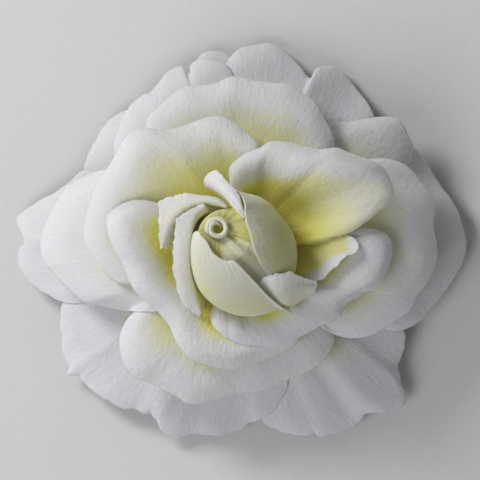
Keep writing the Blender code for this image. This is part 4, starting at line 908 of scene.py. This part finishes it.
girth = np.broadcast_to(np.linspace(0, CORE_GIRTH, CORE_COLUMNS + 1), rise.shape)
coords = np.stack([girth, rise, np.full(rise.shape, CORE_LAYER)], -1)
core = mesh_object("bud_core_cloth", core_grid.reshape(-1, 3), grid_faces(*core_grid.shape[:2]),
                   petal_cloth, {"tone": core_tone.reshape(-1), "weave": coords.reshape(-1, 3)})
# Joining the seam and the closed tip leaves no doubled points.
joined = bmesh.new()
joined.from_mesh(core.data)
bmesh.ops.remove_doubles(joined, verts=joined.verts, dist=1e-6)
joined.to_mesh(core.data)
joined.free()
thicken(core, CLOTH, offset=-1.0)
stand_for(core, "bud_core")

# Rolled eye: a strip wound in a spiral with a soft rolled rim
EYE_TURNS = 1.6
EYE_RADII = (0.95, 2.15)
EYE_STEPS = 120
EYE_SINK = 1.3
EYE_START = 0.8                   # angle where the strip begins
EYE_ENDS = 0.14                   # share of the strip over which each end tapers
EYE_SLOPE = 0.12                  # share of its height that the strip falls by
EYE_END_DROP = 0.35
EYE_WOBBLE = 0.05
# (shift outwards in mm, height as a share of the eye's, tone)
EYE_PROFILE = [(-0.1, -2.1, 0.05), (-0.1, -1.0, 0.05), (-0.1, 0.0, 0.1), (-0.1, 0.4, 0.2),
               (-0.06, 0.70, 0.4), (0.04, 0.86, 0.6), (0.22, 0.97, 0.74), (0.48, 1.0, 0.8),
               (0.74, 0.95, 0.74), (0.92, 0.82, 0.62), (1.0, 0.6, 0.5)]
eye_low, eye_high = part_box("bud_rolled_eye")
spiral = np.linspace(0, 1, EYE_STEPS)
angle = 2 * math.pi * EYE_TURNS * spiral + EYE_START
wobble = EYE_WOBBLE * smooth_noise(41, spiral * 60, 5.0)
ends = ease(np.clip(np.minimum(spiral, 1 - spiral) / EYE_ENDS, 0, 1))
eye_rows = []
for shift, lift, _ in EYE_PROFILE:
    radius = EYE_RADII[0] + (EYE_RADII[1] - EYE_RADII[0]) * spiral + shift * ends + wobble
    share = lift - EYE_SLOPE * spiral - EYE_END_DROP * (1 - ends)
    height = eye_low.z + (eye_high.z - eye_low.z) * share
    eye_rows.append(np.column_stack([eye[0] + radius * np.cos(angle),
                                     eye[1] + radius * np.sin(angle),
                                     height / MM + wobble - EYE_SINK]))
eye_grid = np.array(eye_rows)
eye_tone = np.array([tone for _, _, tone in EYE_PROFILE])[:, None]
cloth_piece("bud_rolled_eye", [(eye_grid, eye_tone, running_length(eye_grid[0]))], 50)

# ------------------------------------------------------------------------------ the felt
FELT = 1.45                       # felt thickness
FELT_COLUMNS = 96
FELT_RADII = (0.02, 4, 8, 11, 13, felt_radius - 0.3)
FELT_FUZZ = 0.12                  # unevenness of the cut edge, outside FUZZ_FROM
FUZZ_FROM = 13
FELT_WAVES = 0.05
turn = np.linspace(0, 2 * math.pi, FELT_COLUMNS + 1)
felt_mid = (felt_low.z + felt_high.z) / 2 / MM
felt_rings = []
for radius in FELT_RADII:
    fuzz = smooth_noise(5, np.arange(FELT_COLUMNS + 1) % FELT_COLUMNS, 2.0)
    reach = radius + FELT_FUZZ * fuzz * (radius > FUZZ_FROM)
    felt_rings.append(np.column_stack([
        ROSE_AXIS[0] + reach * np.cos(turn), ROSE_AXIS[1] + reach * np.sin(turn),
        felt_mid + FELT_WAVES * smooth_noise(9, turn * 9 + radius, 1)]))
felt_grid = np.array(felt_rings)
felt = mesh_object("felt_disc_cloth", felt_grid.reshape(-1, 3), grid_faces(*felt_grid.shape[:2]),
                   felt_wool)
thicken(felt, FELT)
stand_for(felt, "felt_disc")

# ------------------------------------------------------------- studio, lights and camera
FLOOR_HALF = 3.0                  # metres, as are the floor's gap, the lamps and the view
FLOOR_GAP = 0.0001                # floor below the clip
floor_mesh = bpy.data.meshes.new("floor")
floor_mesh.from_pydata([(x * FLOOR_HALF, y * FLOOR_HALF, 0)
                        for x, y in ((-1, -1), (1, -1), (1, 1), (-1, 1))], [], [(0, 1, 2, 3)])
floor = bpy.data.objects.new("floor", floor_mesh)
bpy.context.scene.collection.objects.link(floor)
floor_mesh.materials.append(mottled_material("floor_paper", (0.70, 0.70, 0.71),
                                             (0.73, 0.73, 0.74), 900, 0.9, 0.00005, wash=0.99))
floor.location.z = cad_box[0].z - FLOOR_GAP

world = bpy.data.worlds.new("studio")
world.use_nodes = True
world.node_tree.nodes["Background"].inputs["Color"].default_value = (0.90, 0.90, 0.91, 1)
world.node_tree.nodes["Background"].inputs["Strength"].default_value = 0.22
bpy.context.scene.world = world


def area_light(name, place, target, size, power, colour):
    """Soft rectangular light aimed at a point; lengths in metres."""
    data = bpy.data.lights.new(name, "AREA")
    data.shape = "RECTANGLE"
    data.size, data.size_y = size
    data.energy = power
    data.color = colour
    lamp = bpy.data.objects.new(name, data)
    bpy.context.scene.collection.objects.link(lamp)
    lamp.location = place
    aim = Vector(target) - Vector(place)
    lamp.rotation_euler = aim.to_track_quat("-Z", "Y").to_euler()


area_light("key", (-0.44, 0.40, 0.42), (0, 0, 0.02), (0.22, 0.22), 3.1, (1.0, 0.99, 0.97))
area_light("fill", (-0.52, -0.52, 0.76), (0, 0, 0.02), (0.6, 0.6), 4.5, (0.98, 0.98, 1.0))

VIEW_HEIGHT = 1.2
VIEW_LEVEL = 0.02                 # height that the view's width is measured at
VIEW_WIDTH = 116.4 * MM
VIEW_OFFSET = (5.635 * MM, -3.185 * MM)    # middle of the view from the rose's eye
SENSOR = 36.0
camera_data = bpy.data.cameras.new("camera")
camera_data.sensor_width = SENSOR
camera_data.lens = SENSOR * (VIEW_HEIGHT - VIEW_LEVEL) / VIEW_WIDTH
camera_data.clip_end = 10
camera = bpy.data.objects.new("camera", camera_data)
bpy.context.scene.collection.objects.link(camera)
camera.location = (ROSE_EYE[0] * MM + VIEW_OFFSET[0], ROSE_EYE[1] * MM + VIEW_OFFSET[1],
                   VIEW_HEIGHT)
bpy.context.scene.camera = camera
bpy.context.scene.view_settings.view_transform = "Standard"
